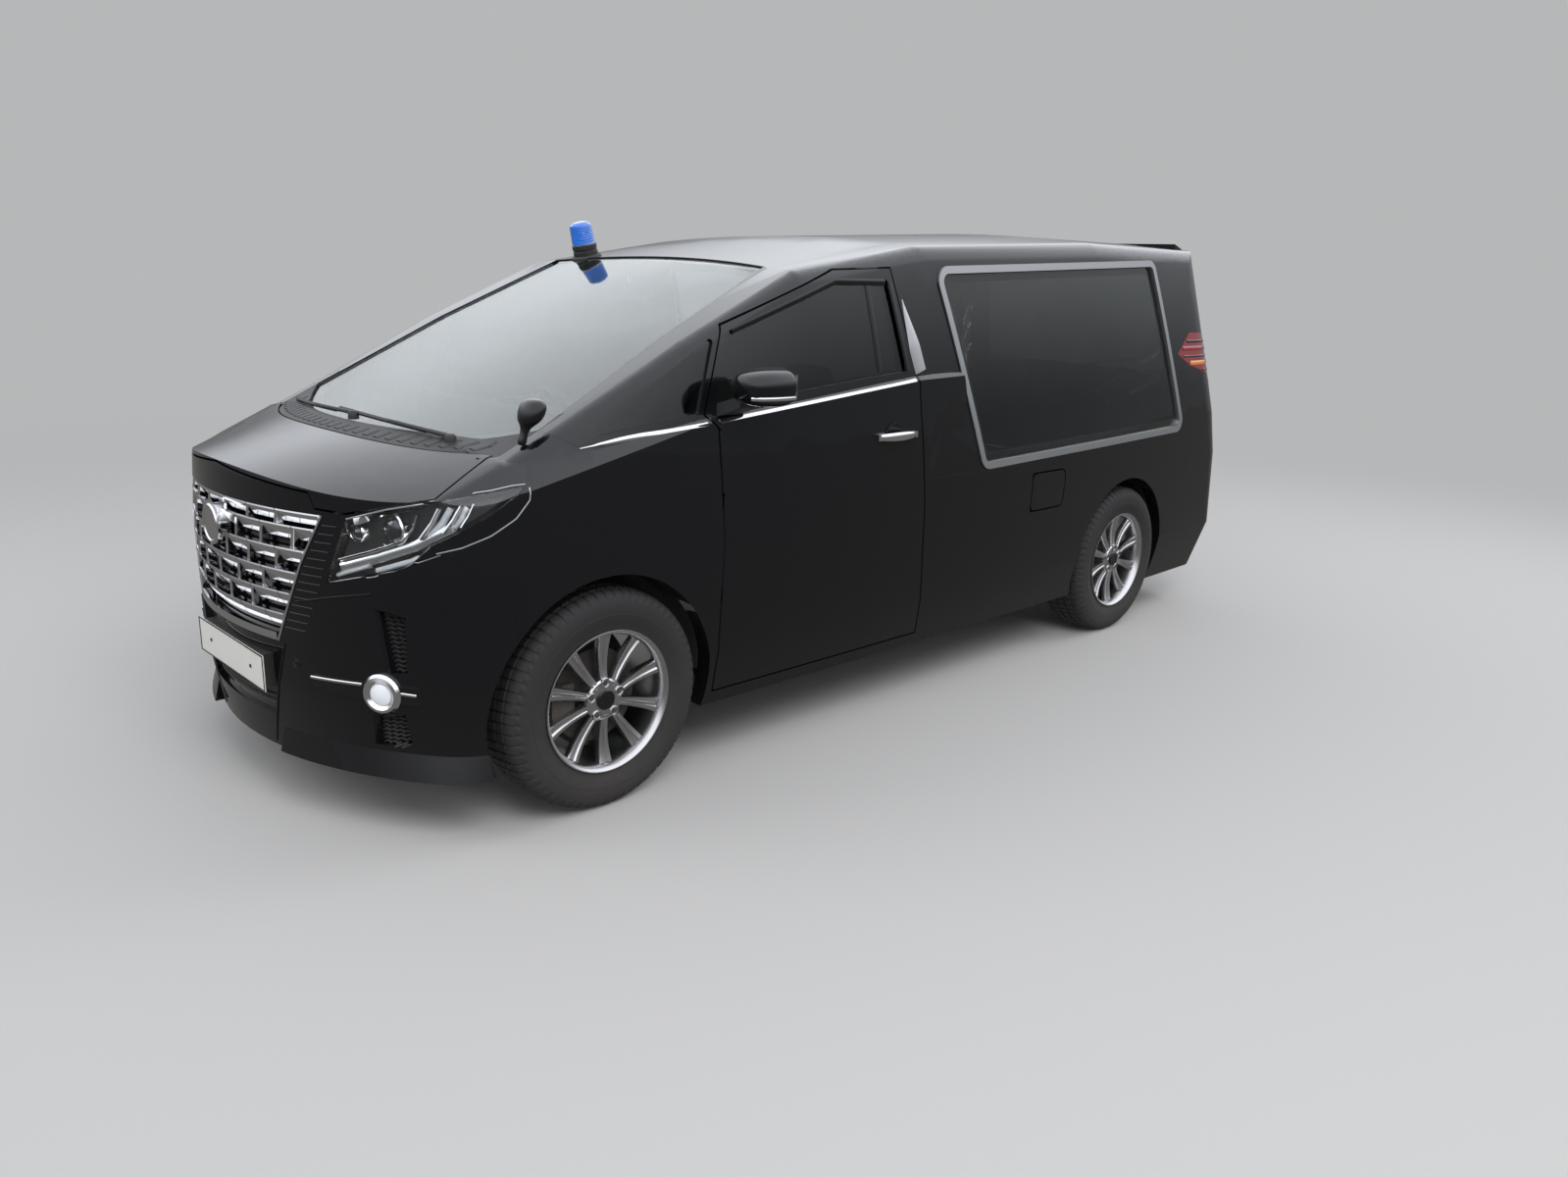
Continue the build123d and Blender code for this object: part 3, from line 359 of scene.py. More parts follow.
def lens_red():
    return finish_of("Red lens", (0.20, 0.003, 0.006), 0.12, coat=1.0, dust=0.1, grain=900.0, bump=0.02)


def lens_amber():
    return finish_of("Amber lens", (0.62, 0.20, 0.02), 0.12, coat=1.0, dust=0.1, grain=900.0, bump=0.02)


def lens_blue():
    return finish_of(
        "Blue lens", colours().beacon, 0.08, coat=1.0, dust=0.05, dust_top=0.1, grain=900.0, bump=0.01,
        Transmission_Weight=0.35,
    )


def mirror_glass():
    return finish_of("Mirror glass", (0.85, 0.86, 0.87), 0.02, metallic=1.0, dust=0.05, grain=900.0, bump=0.0)


def projector_glass():
    return finish_of("Projector glass", (0.02, 0.022, 0.026), 0.05, coat=1.0, dust=0.0, grain=900.0, bump=0.0)


def light_guide():
    return finish_of("Light guide", (0.80, 0.82, 0.85), 0.18, coat=1.0, dust=0.0, grain=900.0, bump=0.02)


# Mesh helpers

def turns(count):
    """The angles of a whole turn in even steps."""
    return [2 * math.pi * k / count for k in range(count)]


def add_piece(name, mesh, body, material, replaced=(), smooth=35.0):
    """Links a mesh as a piece that rides on a body."""
    obj = bpy.data.objects.new(name, mesh)
    bpy.context.scene.collection.objects.link(obj)
    materials = material if isinstance(material, (list, tuple)) else [material]
    for item in materials:
        mesh.materials.append(item)
    if smooth:
        mesh.polygons.foreach_set("use_smooth", [True] * len(mesh.polygons))
        mesh.set_sharp_from_angle(angle=math.radians(smooth))
    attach(obj, body)
    if replaced:
        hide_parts(*replaced)
    return obj


def mesh_of(name, verts, faces, indices=None):
    mesh = bpy.data.meshes.new(name)
    mesh.from_pydata([tuple(v) for v in verts], [], faces)
    if indices:
        mesh.polygons.foreach_set("material_index", indices)
    mesh.validate()
    mesh.update()
    return mesh


class Build:
    """Collects vertices and faces of one piece, with a material number for each face."""

    def __init__(self):
        self.verts = []
        self.faces = []
        self.marks = []

    def add(self, verts, faces, mark=0):
        start = len(self.verts)
        self.verts += [Vector(v) for v in verts]
        self.faces += [tuple(start + i for i in face) for face in faces]
        self.marks += [mark] * len(faces)

    def take(self, other, matrix):
        """Adds what another build holds, moved by a matrix."""
        start = len(self.verts)
        self.verts += [matrix @ v for v in other.verts]
        self.faces += [tuple(start + i for i in face) for face in other.faces]
        self.marks += other.marks

    def loops(self, rings, mark=0, closed=True, caps=True):
        """Skin between rings of equal length."""
        n = len(rings[0])
        verts = [v for ring in rings for v in ring]
        faces = []
        for r in range(len(rings) - 1):
            last = n if closed else n - 1
            for i in range(last):
                j = (i + 1) % n
                faces.append((r * n + i, r * n + j, (r + 1) * n + j, (r + 1) * n + i))
        if caps:
            faces.append(tuple(range(n - 1, -1, -1)))
            faces.append(tuple((len(rings) - 1) * n + i for i in range(n)))
        self.add(verts, faces, mark)

    def box(self, low, high, mark=0, matrix=None):
        x0, y0, z0 = low
        x1, y1, z1 = high
        verts = [Vector((x, y, z)) for x in (x0, x1) for y in (y0, y1) for z in (z0, z1)]
        if matrix:
            verts = [matrix @ v for v in verts]
        faces = [(0, 1, 3, 2), (4, 6, 7, 5), (0, 4, 5, 1), (2, 3, 7, 6), (0, 2, 6, 4), (1, 5, 7, 3)]
        self.add(verts, faces, mark)

    def lathe(self, profile, centre=(0, 0, 0), axis="Y", segments=48, mark=0, sign=1, caps=True):
        """Turns (along, radius) points about an axis through centre."""
        rings = []
        for along, radius in profile:
            ring = []
            for a in turns(segments):
                c, s = radius * math.cos(a), radius * math.sin(a)
                if axis == "Y":
                    ring.append(Vector(centre) + Vector((c, along * sign, s)))
                elif axis == "X":
                    ring.append(Vector(centre) + Vector((along * sign, c, s)))
                else:
                    ring.append(Vector(centre) + Vector((c, s, along * sign)))
            rings.append(ring)
        self.loops(rings, mark, caps=caps)

    def tube(self, points, radius, segments=10, mark=0):
        """A round bar along points, with one radius or one for each point."""
        rings = []
        for i, point in enumerate(points):
            before, after = points[max(i - 1, 0)], points[min(i + 1, len(points) - 1)]
            along = (Vector(after) - Vector(before)).normalized()
            side = along.cross(Vector((0, 0, 1)))
            if side.length < 1e-4:
                side = along.cross(Vector((0, 1, 0)))
            side.normalize()
            up = side.cross(along)
            r = radius[i] if isinstance(radius, (list, tuple)) else radius
            circle = [math.cos(a) * side + math.sin(a) * up for a in turns(segments)]
            rings.append([Vector(point) + r * spoke for spoke in circle])
        self.loops(rings, mark)

    def moulding(self, points, normals, width, height, sink=0.002, mark=0, crown=True):
        """A raised strip that follows points on a surface, crowned or flat."""
        rings = []
        last = len(points) - 1
        for i, (point, normal) in enumerate(zip(points, normals)):
            along = (points[min(i + 1, last)] - points[max(i - 1, 0)]).normalized()
            side = along.cross(normal).normalized()
            w = (width[i] if isinstance(width, (list, tuple)) else width) / 2
            section = [(-w, -sink), (-w, height), (w, height), (w, -sink)]
            if crown:
                section = [(-w, -sink), (-w, height * 0.35), (-w * 0.55, height * 0.9), (0, height)]
                section += [(w * 0.55, height * 0.9), (w, height * 0.35), (w, -sink)]
            rings.append([point + side * a + normal * b for a, b in section])
        self.loops(rings, mark)

    def outward(self):
        """Turns each closed shell's faces outward."""
        mesh = mesh_of("draft", self.verts, self.faces, self.marks)
        bm = bmesh.new()
        bm.from_mesh(mesh)
        bmesh.ops.recalc_face_normals(bm, faces=bm.faces)
        bm.to_mesh(mesh)
        bm.free()
        return mesh

    def piece(self, name, body, material, slot, replaced=(), smooth=35.0):
        mesh = self.outward()
        mesh.name = name
        return add_piece(name, mesh, body, material, replaced, smooth)


def skin(*names):
    """The outer surface of some CAD nodes, to seat pieces on."""
    verts, faces = [], []
    for name in names:
        mesh = NODES[name].data
        start = len(verts)
        verts += [v.co.copy() for v in mesh.vertices]
        faces += [tuple(start + i for i in p.vertices) for p in mesh.polygons]
    return BVHTree.FromPolygons(verts, faces)


def drop(tree, start, direction, needed=True):
    """Where a ray meets a surface, and the surface's normal there, turned toward the start."""
    point, normal, _, _ = tree.ray_cast(Vector(start), Vector(direction))
    if point is None and not needed:
        return None
    if point is None:
        raise RuntimeError(f"nothing to seat a piece on from {tuple(start)}")
    if normal.dot(Vector(direction)) > 0:
        normal = -normal
    return point, normal


def aimed(where, a, b, side=1):
    """Start and direction of the ray for (x, z) on a side, (y, z) on the front or rear, or (x, y) on top."""
    if where == "side":
        return (a, side * BESIDE, b), (0, -side, 0)
    if where == "front":
        return (BEYOND, a * side, b), (-1, 0, 0)
    if where == "rear":
        return (-BEYOND, a * side, b), (1, 0, 0)
    return (a, b * side, ABOVE), (0, 0, -1)


def on_side(tree, x, z, side):
    return drop(tree, *aimed("side", x, z, side))


def on_front(tree, y, z):
    return drop(tree, *aimed("front", y, z))


def on_rear(tree, y, z):
    return drop(tree, *aimed("rear", y, z))


def on_top(tree, x, y):
    return drop(tree, *aimed("top", x, y))


def facing(point, normal):
    """The place of a piece turned about X, put at a point and facing along a normal."""
    turn = Vector((1, 0, 0)).rotation_difference(normal)
    return Matrix.Translation(point) @ turn.to_matrix().to_4x4()


def spaced(points, step):
    """Points along a polyline, no further apart than a step."""
    out = [Vector(points[0])]
    for a, b in zip(points, points[1:]):
        a, b = Vector(a), Vector(b)
        count = max(1, math.ceil((b - a).length / step))
        out += [a.lerp(b, (i + 1) / count) for i in range(count)]
    return out


def softened(normals, times):
    """Normals along a line, each averaged with its neighbours."""
    last = len(normals) - 1
    for _ in range(times):
        normals = [
            (normals[max(i - 1, 0)] + n + normals[min(i + 1, last)]).normalized()
            for i, n in enumerate(normals)
        ]
    return normals


def laid(tree, where, points, step=0.03, side=1):
    """Points and normals of a polyline laid on a surface, given as aimed takes them.
    A seam between panels has nothing under it and is bridged."""
    places, normals = [], []
    for p in spaced([(a, 0, b) for a, b in points], step):
        hit = drop(tree, *aimed(where, p.x, p.z, side), needed=False)
        if hit is None:
            continue
        places.append(hit[0])
        normals.append(hit[1])
    if len(places) < 2:
        raise RuntimeError(f"a trim on the {where} has nothing to sit on: {points}")
    return places, softened(normals, 2)


def snapped(tree, points, step=0.01, side=1, back=0.0):
    """Points and normals of a line drawn in (x, y, z) for the left side, set on the nearest surface."""
    places, normals = [], []
    for p in spaced([(x, y * side, z) for x, y, z in points], step):
        point, normal, _, _ = tree.find_nearest(p)
        if normal.dot(point - Vector((point.x - 0.4, 0, 0.5))) < 0:
            normal = -normal
        places.append(point)
        normals.append(normal)
    normals = softened(normals, 3)
    return [p - n * back for p, n in zip(places, normals)], normals


def outer_sheet(name, side, outward):
    """The faces of a CAD node that look outward on one side, as joined vertices, normals and faces."""
    least = 0.35
    outward = Vector(outward).normalized()
    bm = bmesh.new()
    bm.from_mesh(NODES[name].data)
    bmesh.ops.remove_doubles(bm, verts=bm.verts, dist=WELD)
    gone = [f for f in bm.faces if f.normal.dot(outward) < least or f.calc_center_median().y * side < 0]
    bmesh.ops.delete(bm, geom=gone, context="FACES")
    bm.normal_update()
    bm.verts.index_update()
    verts = [v.co.copy() for v in bm.verts]
    normals = [v.normal.copy() for v in bm.verts]
    faces = [tuple(v.index for v in f.verts) for f in bm.faces]
    bm.free()
    return verts, normals, faces


def sheet_between(build, sheet, near, far):
    """A closed sheet between two depths below an outer sheet."""
    verts, normals, faces = sheet
    count = len(verts)
    points = [v - n * near for v, n in zip(verts, normals)] + [v - n * far for v, n in zip(verts, normals)]
    sides = {}
    for face in faces:
        for a, b in zip(face, face[1:] + face[:1]):
            sides[(a, b)] = sides.get((a, b), 0) + 1
    rim = [(a, b) for a, b in sides if (b, a) not in sides]
    shell = list(faces) + [tuple(count + i for i in reversed(face)) for face in faces]
    shell += [(b, a, count + a, count + b) for a, b in rim]
    build.add(points, shell)


def inset(outline, distance):
    """A closed outline of (a, b) points moved inward by a distance."""
    area = sum(p[0] * q[1] - q[0] * p[1] for p, q in zip(outline, outline[1:] + outline[:1]))
    turn = 1 if area > 0 else -1
    out = []
    for i, point in enumerate(outline):
        here = Vector(point)
        a = (here - Vector(outline[i - 1])).normalized()
        b = (Vector(outline[(i + 1) % len(outline)]) - here).normalized()
        na, nb = Vector((-a.y, a.x)) * turn, Vector((-b.y, b.x)) * turn
        out.append(tuple(here + (na + nb) * distance / (1 + na.dot(nb))))
    return out


def rounded(outline, radius, steps=6):
    """A closed outline with its corners rounded."""
    out = []
    for i, point in enumerate(outline):
        here = Vector(point)
        a = (Vector(outline[i - 1]) - here).normalized() * radius
        b = (Vector(outline[(i + 1) % len(outline)]) - here).normalized() * radius
        out += [tuple(here + a * (1 - t) ** 2 + b * t * t) for t in [k / steps for k in range(steps + 1)]]
    return out


# Body finishes


def smoothing_tree():
    """Shades faces smooth, and edges too where they are flatter than the crease angle."""
    if "Smooth by crease angle" in bpy.data.node_groups:
        return bpy.data.node_groups["Smooth by crease angle"]
    tree = bpy.data.node_groups.new("Smooth by crease angle", "GeometryNodeTree")
    tree.interface.new_socket(name="Geometry", in_out="INPUT", socket_type="NodeSocketGeometry")
    tree.interface.new_socket(name="Geometry", in_out="OUTPUT", socket_type="NodeSocketGeometry")
    given, out = tree.nodes.new("NodeGroupInput"), tree.nodes.new("NodeGroupOutput")
    angle = tree.nodes.new("GeometryNodeInputMeshEdgeAngle")
    flat = tree.nodes.new("FunctionNodeCompare")
    flat.data_type = "FLOAT"
    flat.operation = "LESS_THAN"
    flat.inputs["B"].default_value = sizes().crease_angle
    tree.links.new(angle.outputs["Unsigned Angle"], flat.inputs["A"])
    faces = tree.nodes.new("GeometryNodeSetShadeSmooth")
    faces.domain = "FACE"
    edges = tree.nodes.new("GeometryNodeSetShadeSmooth")
    edges.domain = "EDGE"
    tree.links.new(given.outputs[0], faces.inputs["Geometry"])
    tree.links.new(faces.outputs[0], edges.inputs["Geometry"])
    tree.links.new(flat.outputs["Result"], edges.inputs["Shade Smooth"])
    tree.links.new(edges.outputs[0], out.inputs[0])
    return tree


def dress(name, material):
    """Gives a CAD node its finish and smooth shading, with its mesh left as it is."""
    obj = NODES[name]
    obj.data.materials.clear()
    obj.data.materials.append(material)
    weld = obj.modifiers.new("Weld", "WELD")
    weld.merge_threshold = WELD
    shade = obj.modifiers.new("Shade", "NODES")
    shade.node_group = smoothing_tree()
    normals = obj.modifiers.new("Normals", "WEIGHTED_NORMAL")
    normals.keep_sharp = True
    normals.weight = 50


class HEARSE_OT_body(bpy.types.Operator):
    """Finishes the body panels, glass and underside"""

    bl_idname = "hearse.body"
    bl_label = "Body panels and glass"

    def execute(self, context):
        panels = ["bonnet", "front_wings", "front_bumper", "rear_bumper", "tailgate"]
        panels += ["door_left", "door_right", "side_left", "side_right", "fuel_flap", "roof"]
        steel = ["knuckle_left", "knuckle_right", "front_subframe", "engine"]
        steel += ["rear_axle", "floor_pan", "exhaust", "hinges"]
        dark_panes = ["door_glass_left", "door_glass_right", "quarter_glass", "tailgate_glass"]
        finishes = [
            (paint(), panels),
            (satin_black(), ["cowl", "arch_liners", "dashboard", "fuel_tank"]),
            (gloss_black(), ["grille", "fog_lamps"]),
            (frame_silver(), ["load_window_frames"]),
            (dark_steel(), steel),
            (carpet(), ["load_deck"]),
            (glass_of("Windscreen glass", (0.62, 0.68, 0.66)), ["windscreen"]),
            (glass_of("Load window glass", (0.50, 0.54, 0.53)), ["load_windows"]),
            (glass_of("Dark glass", (0.07, 0.075, 0.075)), dark_panes),
            (lens_clear(), ["headlamps"]),
            (lens_red(), ["tail_lamps"]),
        ]
        for material, names in finishes:
            for name in names:
                dress(name, material)
        return {"FINISHED"}


# Tyres and wheels


def tread_profile():
    """Half section of a tyre as (y, r, kind) from the bead to the middle: 0 plain, 1 shoulder, 2 block."""
    depth = sizes().tread_depth
    r = TYRE_RADIUS
    return [
        (0.094, 0.2170, 0), (0.0975, 0.2185, 0), (0.0990, 0.2280, 0), (0.1010, 0.2300, 0),
        (0.1015, 0.2350, 0), (0.1060, 0.2480, 0), (0.1095, 0.2620, 0), (0.1120, 0.2760, 0),
        (0.1122, 0.2780, 0), (0.1115, 0.2790, 0), (0.1122, 0.2900, 0), (0.1105, 0.3060, 0),
        (0.1075, 0.3180, 0), (0.1040, 0.3265, 1), (0.0985, 0.3350, 1), (0.0905, 0.3425, 1),
        (0.0790, 0.3475, 1), (0.0680, r - 0.0018, 2), (0.0660, r - depth, 0), (0.0590, r - depth, 0),
        (0.0570, r - 0.0010, 2), (0.0420, r - 0.0006, 2), (0.0270, r - 0.0003, 2), (0.0255, r - depth, 0),
        (0.0175, r - depth, 0), (0.0160, r, 2), (0.0, r, 2),
    ]


def tyre_mesh(side):
    """Tread with grooves all round and sipes across, one column of points for each edge of a block."""
    half = tread_profile()
    section = half + [(-y, r, k) for y, r, k in reversed(half[:-1])]
    blocks = sizes().tread_blocks
    pitch = 2 * math.pi / blocks
    cuts = [(0.0, 0), (0.70, 0), (0.76, 1), (0.94, 1)]
    depth = sizes().tread_depth
    verts = []
    for block in range(blocks):
        for part, sunk in cuts:
            for y, r, kind in section:
                lean = 0.35 * pitch * (y / 0.08 if kind == 2 else (1 if y > 0 else -1) * 0.8)
                a = (block + part) * pitch + lean * (1 if kind else 0.8)
                if sunk and kind == 1:
                    r -= 0.0035
                if sunk and kind == 2:
                    r -= depth * 0.6
                verts.append((r * math.cos(a), y * side, r * math.sin(a)))
    n = len(section)
    columns = blocks * len(cuts)
    faces = []
    for c in range(columns):
        d = (c + 1) % columns
        for i in range(n - 1):
            faces.append((c * n + i, d * n + i, d * n + i + 1, c * n + i + 1))
    mesh = mesh_of("tyre", verts, faces)
    bm = bmesh.new()
    bm.from_mesh(mesh)
    inner = [e for e in bm.edges if e.is_boundary]
    bmesh.ops.bridge_loops(bm, edges=inner)
    bmesh.ops.recalc_face_normals(bm, faces=bm.faces)
    bm.to_mesh(mesh)
    bm.free()
    return mesh


class HEARSE_OT_tyres(bpy.types.Operator):
    """Four tyres with grooved tread"""

    bl_idname = "hearse.tyres"
    bl_label = "Tyres"

    def execute(self, context):
        for name, x, side in WHEELS:
            mesh = tyre_mesh(side)
            mesh.transform(Matrix.Translation((x, side * WHEEL_Y, AXLE_Z)))
            replaced = [f"tyre_{name}"]
            add_piece(f"tyre_tread_{name}", mesh, f"wheel_{name}", rubber(), replaced, smooth=32)
        return {"FINISHED"}


def spoke_rings(angle, side):
    """Rings along one spoke: a wide outer end, a valley down the middle, two sloping facets."""
    rings = []
    for t in (0.0, 0.12, 0.3, 0.5, 0.7, 0.88, 1.0):
        r = 0.050 + t * (0.2075 - 0.050)
        half = 0.0125 + 0.0105 * t ** 1.2
        top = 0.080 - 0.012 * t * (1 - t) * 4 + 0.004 * t
        valley = 0.0055 * min(1.0, t * 3)
        foot = top - 0.030 + 0.006 * t
        section = [(-half, foot), (-half, top - 0.0065), (-half * 0.86, top - 0.001), (-half * 0.30, top)]
        section += [(-half * 0.07, top - valley), (half * 0.07, top - valley)]
        section += [(half * 0.30, top), (half * 0.86, top - 0.001), (half, top - 0.0065), (half, foot)]
        ring = []
        for a, b in section:
            x = r * math.cos(angle) - a * math.sin(angle)
            z = r * math.sin(angle) + a * math.cos(angle)
            ring.append(Vector((x, b * side, z)))
        rings.append(ring)
    return rings


# Turned parts of a wheel, as (along the axle, radius)
BARREL = [
    (0.0985, 0.2158), (0.0985, 0.2275), (0.1055, 0.2275), (0.1062, 0.2240), (0.1040, 0.2200),
    (0.0930, 0.2120), (0.0700, 0.2075), (0.0000, 0.2040), (-0.0900, 0.2060), (-0.1055, 0.2150),
    (-0.1062, 0.2260), (-0.1000, 0.2262), (-0.0985, 0.2158), (-0.0850, 0.2145), (0.0850, 0.2140),
    (0.0985, 0.2158),
]
HUB = [(0.020, 0.030), (0.020, 0.066), (0.060, 0.070), (0.0745, 0.066), (0.0790, 0.060), (0.0800, 0.030)]
CAP = [(0.0780, 0.0330), (0.0850, 0.0320), (0.0868, 0.0290), (0.0862, 0.0220), (0.0858, 0.0010)]
BRAKE_DISC = [
    (-0.0050, 0.060), (-0.0050, 0.150), (0.0190, 0.150), (0.0190, 0.062), (0.0450, 0.060), (0.0450, 0.030),
]
LUG_POCKET = [
    (0.0705, 0.0165), (0.0822, 0.0165), (0.0834, 0.0152), (0.0834, 0.0135), (0.0740, 0.0125),
    (0.0740, 0.0125),
]
LUG_NUT = [(0.0735, 0.0088), (0.0800, 0.0086), (0.0815, 0.0070)]
LUGS = 5
LUG_CIRCLE = 0.0545


class HEARSE_OT_rims(bpy.types.Operator):
    """Alloy wheels with grooved spokes, lug pockets, caps and brake discs"""

    bl_idname = "hearse.rims"
    bl_label = "Wheels"

    def execute(self, context):
        count = sizes().spokes
        for name, x, side in WHEELS:
            rim = Build()
            rim.lathe(BARREL, segments=96, sign=side, caps=False)
            for i in range(count):
                rim.loops(spoke_rings(2 * math.pi * (i + 0.5) / count, side))
            rim.lathe(HUB, segments=60, sign=side)
            for i in range(LUGS):
                a = 2 * math.pi * i / LUGS + math.pi / 2
                centre = (LUG_CIRCLE * math.cos(a), 0, LUG_CIRCLE * math.sin(a))
                rim.lathe(LUG_POCKET, centre, segments=20, sign=side)
                rim.lathe([(0.0735, 0.0124), (0.0741, 0.0122)], centre, segments=20, mark=1, sign=side)
                rim.lathe(LUG_NUT, centre, segments=6, mark=2, sign=side)
            rim.lathe(CAP, segments=40, mark=1, sign=side)
            rim.lathe(BRAKE_DISC, segments=72, mark=2, sign=side)
            mesh = rim.outward()
            mesh.transform(Matrix.Translation((x, side * WHEEL_Y, AXLE_Z)))
            materials = [alloy(), gloss_black(), dark_steel()]
            replaced = [f"rim_{name}"]
            add_piece(f"alloy_wheel_{name}", mesh, f"wheel_{name}", materials, replaced, smooth=28)
        return {"FINISHED"}


# Nose


# The nose's outline: height, foremost x, bow across and half width
NOSE_LEVELS = [
    (0.190, 2.360, 0.350, 0.850),
    (0.420, 2.390, 0.375, 0.885),
    (0.800, 2.395, 0.380, 0.897),
    (1.010, 2.383, 0.400, 0.884),
    (1.170, 2.345, 0.400, 0.872),
]


def nose_x(y, z):
    """The nose's front face: an arc across at each height."""
    for low, high in zip(NOSE_LEVELS, NOSE_LEVELS[1:]):
        if z <= high[0]:
            break
    ends = []
    for _, nose, bow, half in (low, high):
        r = (half * half + bow * bow) / (2 * bow)
        ends.append(nose - r + math.sqrt(r * r - y * y))
    part = (z - low[0]) / (high[0] - low[0])
    return ends[0] + (ends[1] - ends[0]) * part


# The grille's opening, and the foot of each row of plates
GRILLE_TOP = 0.944
GRILLE_TALL = 0.394
GRILLE_TOP_HALF = 0.484
GRILLE_FOOT_HALF = 0.296
GRILLE_ROWS = [0.920, 0.878, 0.812, 0.746, 0.680, 0.614]
ROW_RISE = 0.024
LINK_PITCH = 0.130
DISC = [(-0.040, 0.062), (-0.004, 0.062), (0.0, 0.058), (0.0, 0.052), (-0.003, 0.048), (-0.004, 0.0005)]


def grille_half(z):
    """Half width of the grille's opening at a height."""
    return GRILLE_TOP_HALF - (GRILLE_TOP - z) * (GRILLE_TOP_HALF - GRILLE_FOOT_HALF) / GRILLE_TALL


class HEARSE_OT_grille(bpy.types.Operator):
    """Plated grille: six rows of sloping plates in a brick bond, edge bars, a bare disc and panel ribs"""

    bl_idname = "hearse.grille"
    bl_label = "Grille"

    def execute(self, context):
        grille = Build()
        for i, foot in enumerate(GRILLE_ROWS):
            top = foot + ROW_RISE
            tall = 0.040 if i else 0.034
            half = grille_half(top)
            shift = 0.5 if i % 2 == 0 else 0.0
            joints = [(k + shift) * LINK_PITCH for k in range(-5, 6)]
            edges = [-half] + [y for y in joints if abs(y) < half - 0.03] + [half]
            for a, b in zip(edges, edges[1:]):
                rings = []
                steps = 4
                for s in range(steps + 1):
                    y = a + 0.0014 + (b - a - 0.0028) * s / steps
                    x = nose_x(y, top) - 0.001
                    section = [(0.0, 0.0), (0.0015, -0.004), (0.0, -0.0085)]
                    section += [(-0.017, -tall), (-0.021, -tall), (-0.021, 0.0)]
                    rings.append([Vector((x + dx, y, top + dz)) for dx, dz in section])
                grille.loops(rings)
            if i + 1 < len(GRILLE_ROWS):
                next_top = GRILLE_ROWS[i + 1] + ROW_RISE
                ends = ((top, -0.006, 0.004), (next_top, 0.001, 0.003))
                w, deep = 0.010, 0.022
                for y in joints:
                    if abs(y) > grille_half(next_top) - 0.02:
                        continue
                    rings = []
                    for level, rise, sunk in ends:
                        x = nose_x(y, level) - sunk
                        corners = ((x, y - w), (x, y + w), (x - deep, y + w), (x - deep, y - w))
                        rings.append([Vector((*corner, level + rise)) for corner in corners])
                    grille.loops(rings)
        foot, top = 0.550, 0.574
        rings = []
        for s in range(25):
            y = (s / 12 - 1) * (grille_half(0.56) - 0.004)
            x = nose_x(y, top) - 0.001
            section = ((0.0, top), (0.002, top - 0.008), (0.0, foot), (-0.028, foot), (-0.028, top))
            rings.append([Vector((x + dx, y, z)) for dx, z in section])
        grille.loops(rings)
        section = [(-0.030, -0.0075), (-0.001, -0.0075), (0.0015, 0.0), (-0.001, 0.0065), (-0.030, 0.0065)]
        for side, _ in SIDES:
            rings = []
            for s in range(17):
                z = GRILLE_TOP - s * GRILLE_TALL / 16
                y = side * (grille_half(z) + 0.008)
                x = nose_x(y, z)
                rings.append([Vector((x + dx, y + side * dy, z)) for dx, dy in section])
            grille.loops(rings)
        grille.piece("grille_plates", "body", bright_trim(), "chrome", ["grille_bars"], smooth=25)

        disc = Build()
        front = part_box("grille_bars")[1].x
        disc.lathe(DISC, (front, 0, 0.850), axis="X", segments=64)
        disc.piece("grille_centre_disc", "body", bright_trim(), "chrome", smooth=30)

        # Ribs on the black panel beside the grille, whose outer edge bends at its waist
        panel = Build()
        tree = skin("front_bumper")
        waist_z, waist_y = 0.757, 0.500
        for side, _ in SIDES:
            for i in range(14):
                z = 0.598 + i * 0.0245
                inner = grille_half(z) + 0.026
                outer = waist_y + max(0.0, (z - waist_z)) * 0.294
                if z < waist_z:
                    outer = waist_y - (waist_z - z) * 0.45
                if outer - inner < 0.015:
                    continue
                places, normals = laid(tree, "front", [(inner, z), (outer - 0.006, z)], 0.02, side)
                panel.moulding(places, normals, 0.0045, 0.0018)
        panel.piece("nose_panel_ribs", "body", gloss_black(), "bumper_black")
        return {"FINISHED"}


# Lamps


